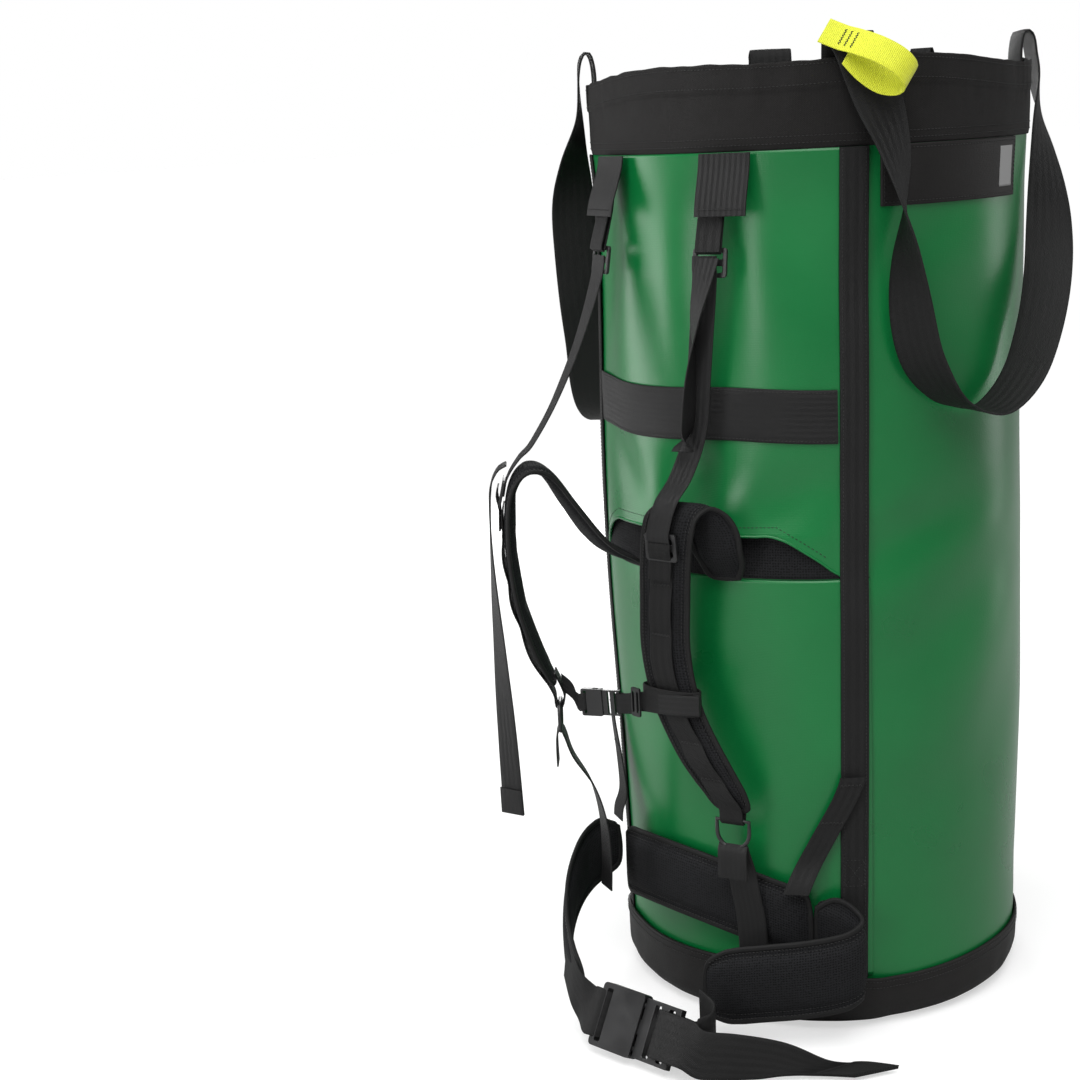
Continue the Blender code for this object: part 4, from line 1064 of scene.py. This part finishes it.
def hold_and_puff(obj, held, pressure, cap):
    """Inflates a closed pad with its seams held still; no point moves further than the cap."""
    rest = [vertex.co.copy() for vertex in obj.data.vertices]
    group = obj.vertex_groups.new(name="held")
    group.add(held, 1.0, "REPLACE")
    cloth = obj.modifiers.new("puff", "CLOTH")
    settings = cloth.settings
    settings.vertex_group_mass = "held"
    settings.use_pressure = True
    settings.uniform_pressure_force = pressure
    settings.effector_weights.gravity = 0.0
    settings.mass = 0.2
    settings.quality = 6
    settings.tension_stiffness = 12.0
    settings.compression_stiffness = 12.0
    settings.bending_stiffness = 0.6
    scene = bpy.context.scene
    for step in range(1, 21):
        scene.frame_set(step)
    puffed = obj.evaluated_get(bpy.context.evaluated_depsgraph_get())
    moved = [vertex.co.copy() for vertex in puffed.data.vertices]
    obj.modifiers.remove(cloth)
    obj.vertex_groups.remove(group)
    for vertex, start, end in zip(obj.data.vertices, rest, moved):
        shift = end - start
        if shift.length > cap:
            shift *= cap / shift.length
        vertex.co = start + shift
    scene.frame_set(1)


def held_points(obj, beyond, length, ends=0.012):
    """The points outside the seam line, and those at the two ends, from the piece's own uv."""
    layer = obj.data.uv_layers[0].data
    held = set()
    for loop in obj.data.loops:
        across, along = layer[loop.index].uv
        if abs(across) > beyond or not ends < along < length - ends:
            held.add(loop.vertex_index)
    return sorted(held)


def narrowing(share, taper):
    """How much of its width a pad keeps at a share of its length."""
    nearest_end = min(share, 1 - share)
    return 1.0 - taper * max(0.0, 1.0 - nearest_end * 6) ** 2


def edge_loop(route, half_of):
    """Once round a pad's edge: places, and the directions that point out of it in its own plane."""
    points, outs = [], []
    count = max(8, round(route.length / 0.018))
    start, start_side, start_normal = route.at(0)
    way = (route.at(0.01)[0] - start).normalized().dot(start_normal.cross(start_side))
    for sign, order in ((1, range(count + 1)), (-1, range(count, -1, -1))):
        for i in order:
            place, side, normal = route.at(route.length * i / count)
            along = normal.cross(side).normalized() * way
            corner = {0: -1.0, count: 1.0}.get(i, 0.0)
            half = half_of(i / count) * (0.80 if corner else 1.0)
            points.append(place + side * sign * half - along * corner * 0.001)
            outs.append((side * sign + along * corner).normalized())
    return [*points, points[0]], [*outs, outs[0]]


def padded_strap(name, nodes, route, width, thickness, taper=0.35):
    """A padded strap with bound edges: its outline narrows towards both ends."""
    def outline(share):
        narrow = narrowing(share, taper)
        thin = 0.35 + 0.65 * smooth(0.0, 0.06, min(share, 1 - share))
        return [(x * narrow, y * thin) for x, y in pad_outline(width - 0.003, thickness)]

    pad = swept(name, nodes, route, outline, PADDING, "bag", pitch=0.0045, ripple=0.0005)
    hold_and_puff(pad, held_points(pad, width / 2 * 0.70, route.length), 4.0, 0.0022)
    smoother = pad.modifiers.new("smooth", "SUBSURF")
    smoother.levels = 1
    smoother.render_levels = 1
    points, outs = edge_loop(route, lambda share: (width / 2 - 0.0025) * narrowing(share, taper))
    webbing(f"{name}_binding", "", points, outs, (0.0062, 0.0040, BINDING))
    sewing = Sewing(f"{name}_threads")
    for side in (-1, 1):
        for share_in, lift in ((0.86, 0.0019), (0.74, 0.0017)):
            def frame_of(distance):
                half = (width / 2) * narrowing(distance / route.length, taper)
                return route.frame_at(distance, side * half * share_in, lift)
            sewing.line(frame_of, route.length - 0.004, 0.004)
    sewing.done()


def offset_strap(route, start, end, lift_of, count):
    """Points and sides of a strap that lies on another along part of its way."""
    points, sides = [], []
    for i in range(count + 1):
        distance = start + (end - start) * i / count
        place, side, normal = route.at(distance)
        points.append(place + normal * lift_of(distance))
        sides.append(side)
    return points, sides


def pad_webbing(name, route, start, tacks, end, sewing):
    """Webbing sewn down a pad's face, arched a little between its bar tacks."""
    stops = [start, *tacks, end]

    def lift(distance):
        for low, high in zip(stops, stops[1:]):
            if low <= distance <= high:
                share = (distance - low) / (high - low)
                return 0.0056 + 0.0030 * math.sin(math.pi * share) ** 1.2 * min(1.0, (high - low) / 0.06)
        return 0.0056

    _, top = webbing(f"{name}_daisy", name, *offset_strap(route, start, end, lift, 40), THIN_STRAP)
    for tack in tacks:
        sewing.bar_tack(top, (tack - start) / (end - start) * top.length, 0.021, TACK_ON_THIN)


def nearest_distance(route, place):
    steps = [route.length * i / 200 for i in range(201)]
    return min(steps, key=lambda d: (route.at(d)[0] - place).length)


def middle_of(node):
    low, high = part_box(node)
    return (low + high) / 2


def make_shoulder_pads():
    right = Route(places(RIGHT_PAD), turned(*RIGHT_PAD_TURNS))
    left = Route(spots(LEFT_PAD), turned(*LEFT_PAD_TURNS))
    for name, route in (("right", right), ("left", left)):
        padded_strap(f"shoulder_padding_{name}", f"shoulder_pad_{name}", route, PAD_WIDTH, 0.0095)
        sewing = Sewing(f"pad_tacks_{name}")
        buckle = nearest_distance(route, middle_of(f"pad_buckle_{name}"))
        start, end = buckle + 0.010, route.length - 0.004
        tacks = [start + below for below in PAD_TACKS[name] if start + below < end - 0.012]
        pad_webbing(f"pad_webbing_{name}", route, start, tacks, end, sewing)
        tab = offset_strap(
            route, buckle - 0.004, start + 0.024,
            lambda d: 0.0088 + 0.0045 * (1 - smooth(buckle, buckle + 0.016, d)), 10)
        webbing(f"pad_buckle_tab_{name}", "", *tab, THIN_STRAP)
        sewing.done()
    return right, left


def round_bow(azimuth, ring, tail, proud):
    """The end of a lower strap: folded over the ring's bow, its tail in front."""
    out = outward(azimuth)
    low = ring + DOWN * (RING_DROP + RING_HALF)
    return [
        low + out * proud + DOWN * tail, low + out * 0.0042 + DOWN * 0.004, low + UP * 0.0040,
        low - out * 0.0038 + DOWN * 0.004,
    ]


def make_ring_straps(right, left):
    """A short loop holds each D-ring at the pad's foot, and the lower strap hangs from its bow."""
    for route, (name, ring, azimuth) in zip((right, left), RINGS):
        out = outward(azimuth)
        foot = route.at(route.length - 0.012)[0]
        points = [
            foot + out * 0.0065, ring + out * 0.0052 + UP * 0.012, ring + out * 0.0036, ring + DOWN * 0.0036,
            ring - out * 0.0036, ring - out * 0.0052 + UP * 0.012, foot - out * 0.0062,
        ]
        webbing(f"ring_loop_{name}", "", points, turned(*[azimuth] * 7), (0.024, THIN_WEB, BLACK_WEBBING),
                out=out)
    rest = places(((15.6, 172, 21.5), (16.6, 145, 20.5), (17.6, 120, 20.5), (18, 85, 21.5)))
    webbing("lower_webbing_right", "lower_strap_right", round_bow(14.8, RINGS[0][1], 0.030, 0.0040) + rest,
            turned(15, 15, 15, 15, 16, 17, 18, 18), (0.030, THIN_WEB, FLAT_WEBBING))
    rest = spots((
        (-106, -270, 270), (-101, -248, 232), (-98, -238, 190), (-98, -236, 150), (-100, -236, 118)))
    webbing("lower_webbing_left", "lower_strap_left", round_bow(-50, RINGS[1][1], 0.034, 0.0045) + rest,
            turned(-50, -50, -50, -50, -46, -38, -30, -26, -24), FLAT_STRAP)


def make_lifter_straps():
    """Each strap hangs from its upper ladder lock to the lock on the shoulder pad."""
    buckle = middle_of("pad_buckle_right")
    points, sides = stations((
        (11.5, 762, 20), (11.5, 748, 21.5), (11.4, 738, 21), (9.5, 660, 20.5), (8, 600, 22.5),
        (6.5, 562, 38), (5.6, 540, 60)))
    points += [buckle + spot for spot in spots(((0, -4, 16), (0, -4, 4), (0, 1, -4)))]
    webbing("lifter_webbing_right", "lifter_strap_right", points, sides + turned(5, 5, 5), FLAT_STRAP)
    points = places((
        (12.8, 760, 24), (12, 740, 30), (9.8, 700, 31), (8.4, 650, 29), (7.6, 605, 33), (7.2, 585, 40)))
    sides = [
        around(12), around(0), outward(10) * 0.7 + around(10) * 0.7, outward(8), outward(8), around(20)]
    webbing("lifter_tail_right", "", points, sides, (0.022, THIN_WEB, FLAT_WEBBING))
    points = spots((
        (-94, -213, 760), (-95, -217, 738), (-101, -240, 680), (-107, -270, 628), (-112, -300, 590),
        (-115, -316, 578), (-119, -329, 562), (-120.5, -334, 545)))
    webbing("lifter_webbing_left", "lifter_strap_left", points,
            turned(-23, -24, -32, -38, -42, -46, -48, -48), FLAT_STRAP)
    points = spots((
        (-119, -330, 574), (-126, -337, 567), (-130, -343, 545), (-130, -345, 480), (-129, -343, 400),
        (-128, -340, 310), (-128, -337, 224)))
    _, route = webbing("lifter_tail_webbing_left", "lifter_tail_left", points,
                       turned(-46, -47, -48, -40, -20, 0, 10), FLAT_STRAP)
    fold = offset_strap(route, route.length - 0.026, route.length, lambda d: 0.0019, 6)
    webbing("lifter_tail_fold", "", *fold, (STRAP_WIDTH + 0.001, THIN_WEB, FLAT_WEBBING))


# ---- chest strap --------------------------------------------------------------------------------
CHEST_ORIGIN = Vector((-0.069, -0.2660, 0.3300))
CHEST_U = Vector((0.96, 0.25, 0.06)).normalized()
CHEST_SIZE = 0.00044
CHEST_REACH = 50.0           # the strap's distance from the tube, in millimetres


def make_chest_strap():
    v = Vector((-0.05, 0, 1))
    v = (v - CHEST_U * v.dot(CHEST_U)).normalized()
    n = CHEST_U.cross(v)

    def local(x, z):
        return CHEST_ORIGIN + CHEST_U * (x * CHEST_SIZE) + n * z

    points = places((
        (8.5, 344, CHEST_REACH - 4), (10.5, 344, CHEST_REACH - 1), (5, 342, CHEST_REACH + 1),
        (0, 340, CHEST_REACH + 1), (-5, 337, CHEST_REACH - 2)))
    points += [
        local(62, 0.0), local(48, -0.0030), local(37, 0.0), local(46, 0.0034), local(62, 0.0022),
        local(90, 0.0030)]
    strap, _ = webbing("chest_webbing_right", "chest_strap_right", points, [UP] * 5 + [v] * 6,
                       (0.020, THIN_WEB, FLAT_WEBBING), body=None, out=(0, -1, 0))
    on_bag(0.0, 0.34, CHEST_REACH / MM)
    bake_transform(strap)
    around_pad = []
    pad_middle = on_bag(2.0, 0.3430, 0.0395)
    for k in range(17):
        a = 2 * math.pi * k / 16
        around_pad.append(pad_middle + around(3) * 0.0325 * math.cos(a) + outward(3) * 0.0115 * math.sin(a))
    webbing("chest_strap_keeper", "", around_pad, [UP] * 17, THIN_STRAP, out=(0, -1, 0))
    points = [local(-37, 0.0), local(-46, 0.0034), local(-58, 0.0020)]
    points += spots(((-96, -278, 340), (-102, -286, 350)))
    webbing("chest_webbing_left", "chest_strap_left", points, [v] * 5, (0.018, THIN_WEB, FLAT_WEBBING),
            out=(0, -1, 0))


# ---- hip belt -----------------------------------------------------------------------------------
WING_RIGHT = (
    (33.6, 110, 9.5), (38, 106, 12), (42, 99, 19), (44.5, 90, 29), (43, 82, 37), (38, 76, 42), (30, 70, 44),
    (22, 64, 45), (14, 56, 46), (8, 50, 48),
)
WING_LEFT = (          # x, y, z
    (-126.5, -183, 142), (-136, -200, 140), (-136, -230, 130), (-124, -265, 108), (-102, -296, 78),
    (-76, -315, 54), (-62, -320, 45),
)
WAIST_ORIGIN = Vector((0.012, -0.326, 0.0335))
WAIST_U = Vector((1, 0, 0))
WAIST_V = Vector((0, 0.5, 0.866)).normalized()
WAIST_N = WAIST_U.cross(WAIST_V)


def make_hip_pads():
    rows = [(az, 140 - 0.02 * az * az - 0.3 * az, 10.8) for az in range(-32, 33, 4)]
    for name, nodes, points, width, thickness, taper in (
            ("lumbar_padding", "lumbar_pad", places(rows), 0.074, 0.011, 0.0),
            ("hip_padding_right", "hip_wing_right", places(WING_RIGHT), 0.080, 0.0095, 0.3),
            ("hip_padding_left", "hip_wing_left", spots(WING_LEFT), 0.070, 0.0095, 0.3)):
        padded_strap(name, nodes, Route(points, [UP] * len(points)), width, thickness, taper)


def on_buckle(*rows):
    """Places on the waist buckle: x along the belt and n off its face, in millimetres."""
    return [WAIST_ORIGIN + (WAIST_U * x + WAIST_N * n) * 0.001 for x, n in rows]


def make_waist_webbing():
    points = on_buckle((-66, -7.5), (-56, -8), (-47, -8.6), (-38, 0), (-47, 8.6), (-56, 7))
    points += spots(((-58, -328.5, 44), (-72, -323.5, 56), (-92, -310, 74)))
    sides = [WAIST_V] * 6 + [Vector((0, 0.2, 0.98))] * 3
    webbing("waist_belt_left", "waist_webbing_left", points, sides, BELT, out=(0, -1, 0))
    points = on_buckle((28, -6.6), (38, -6.8), (50, -6.4), (62, -2))
    points += spots(((78, -320, 35.5), (85, -306, 38), (76, -288, 40), (52, -279, 43)))
    sides = [WAIST_V] * 4 + [(0, 0.3, 1), (0, 0.1, 1), UP, UP]
    strap, _ = webbing("waist_belt_right", "waist_webbing_right", points, sides, BELT, body=None,
                       out=(0, 1, 0))
    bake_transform(strap)
    points = on_buckle((20, 0), (28, 6.6), (38, 6.8), (50, 7.2), (64, 4.5))
    points += spots((
        (90, -327, 29), (110, -312, 27), (135, -285, 20), (160, -260, 10), (185, -235, 6), (212, -219, 5)))
    sides = [WAIST_V] * 5 + [
        (0, 0.3, 0.95), (0.1, 0.3, 0.95), (0.4, 0.5, 0.75), (0.6, 0.75, 0.25), (0.5, 0.85, 0.08),
        (0.5, 0.85, 0)]
    body = "waist_plug_body"
    _, route = webbing("waist_belt_tail", "waist_tail", points, sides, BELT, body=body, out=(0, -1, 0.2))
    lift = 0.0022 if route.at(route.length)[2].z > 0 else -0.0022
    fold = offset_strap(route, route.length - 0.042, route.length, lambda d: lift, 8)
    _, fold_route = webbing("waist_tail_fold", "", *fold, (BELT_WIDTH + 0.001, WEB, BLACK_WEBBING),
                            body=body, out=UP)
    sewing = Sewing("waist_tail_threads", body)
    sewing.bar_tack(fold_route, 0.004, 0.040, TACK_ON_WEB, 0.0016, 20)
    sewing.done()


def make_stabiliser_straps():
    right = (
        (43.5, 265, 7.2), (43, 258, 7.5), (41, 240, 7.5), (36.5, 208, 7.2), (32, 176, 10), (30, 160, 18.5),
        (29, 150, 21.5),
    )
    left = [(-azimuth, z + 30, proud) for azimuth, z, proud in right]
    for name, rows in (("right", right), ("left", left)):
        _, route = webbing(f"stabiliser_webbing_{name}", f"stabiliser_strap_{name}", *stations(rows),
                           THIN_STRAP)
        sewing = Sewing(f"stabiliser_tacks_{name}")
        for distance in (0.050, 0.008):
            sewing.bar_tack(route, distance, 0.021, TACK_ON_THIN)
        sewing.done()


# ---- studio -------------------------------------------------------------------------------------
def make_camera():
    azimuth, turn, dip, tilt = (math.radians(a) for a in (35.0, -8.43, 12.65, -2.97))

    def rotated(a, b, angle):
        return a * math.cos(angle) + b * math.sin(angle), b * math.cos(angle) - a * math.sin(angle)

    forward = Vector((-math.sin(azimuth), math.cos(azimuth), 0))
    right = Vector((math.cos(azimuth), math.sin(azimuth), 0))
    forward, right = rotated(forward, right, turn)
    up, forward = rotated(UP, forward, dip)
    right, up = rotated(right, up, tilt)
    data = bpy.data.cameras.new("studio_camera")
    data.sensor_width = 36.0
    data.lens = 63.23
    camera = link_object("studio_camera", data)
    axes = Matrix((right, up, -forward)).transposed().to_4x4()
    camera.matrix_world = Matrix.Translation((1.1153, -1.5928, 0.8947)) @ axes
    bpy.context.scene.camera = camera


def add_softbox(name, azimuth, height, distance, size, power):
    data = bpy.data.lights.new(name, "AREA")
    data.shape = "RECTANGLE"
    data.size, data.size_y = size
    data.energy = power
    place = outward(azimuth) * distance + UP * height
    facing = (UP * 0.48 - place).to_track_quat("-Z", "Y")
    link_object(name, data).matrix_world = Matrix.Translation(place) @ facing.to_matrix().to_4x4()


def seen_only(tree, others, seen):
    """A strength that is one value for the camera and another for every other ray."""
    path = add_node(tree, "ShaderNodeLightPath")
    return ranged(tree, path.outputs["Is Camera Ray"], others, seen, 0.0, 1.0)


def make_studio():
    white = (1.0, 1.0, 1.0, 1.0)
    make_camera()
    bm = bmesh.new()
    bmesh.ops.create_grid(bm, x_segments=1, y_segments=1, size=40.0)
    floor_paint = new_material(
        "studio_floor", Base_Color=(*grey(0.50), 1.0), Roughness=0.9, Emission_Color=white,
        Specular_IOR_Level=0.0)
    tree = floor_paint.node_tree
    tree.links.new(seen_only(tree, 0.0, 0.56), tree.nodes["Principled BSDF"].inputs["Emission Strength"])
    mesh = bpy.data.meshes.new("studio_floor")
    bm.to_mesh(mesh)
    bm.free()
    mesh.materials.append(floor_paint)
    floor = link_object("studio_floor", mesh)
    floor.location.z = -0.0005
    add_softbox("key_softbox", -61, 0.80, 2.0, (1.0, 1.7), 19)
    add_softbox("front_softbox", -1, 0.95, 2.4, (0.6, 1.2), 12)
    add_softbox("fill_softbox", 36, 2.4, 2.1, (1.6, 1.2), 20)
    add_softbox("side_softbox", 148, 0.80, 2.3, (0.4, 1.7), 6)
    add_softbox("rear_softbox", 226, 1.0, 2.4, (0.8, 1.7), 20)
    data = bpy.data.lights.new("overhead_bank", "SUN")
    data.energy = 2.3
    data.angle = math.radians(50)
    link_object("overhead_bank", data).rotation_euler = (math.radians(12), math.radians(8), 0)
    world = bpy.data.worlds.new("studio_world")
    world.use_nodes = True
    tree = world.node_tree
    tree.links.new(seen_only(tree, 0.20, 1.0), tree.nodes["Background"].inputs["Strength"])
    tree.nodes["Background"].inputs["Color"].default_value = white
    bpy.context.scene.world = world
    bpy.context.scene.view_settings.view_transform = "Standard"


make_studio()
make_tube()
make_boot()
make_collar()
make_panels()
make_sewn_webbing()
make_label()
make_handles()
make_closure()
make_lifter_flaps()
make_lifter_anchors()
make_plastic()
make_d_rings()
make_ring_straps(*make_shoulder_pads())
make_lifter_straps()
make_chest_strap()
make_hip_pads()
make_waist_webbing()
make_stabiliser_straps()
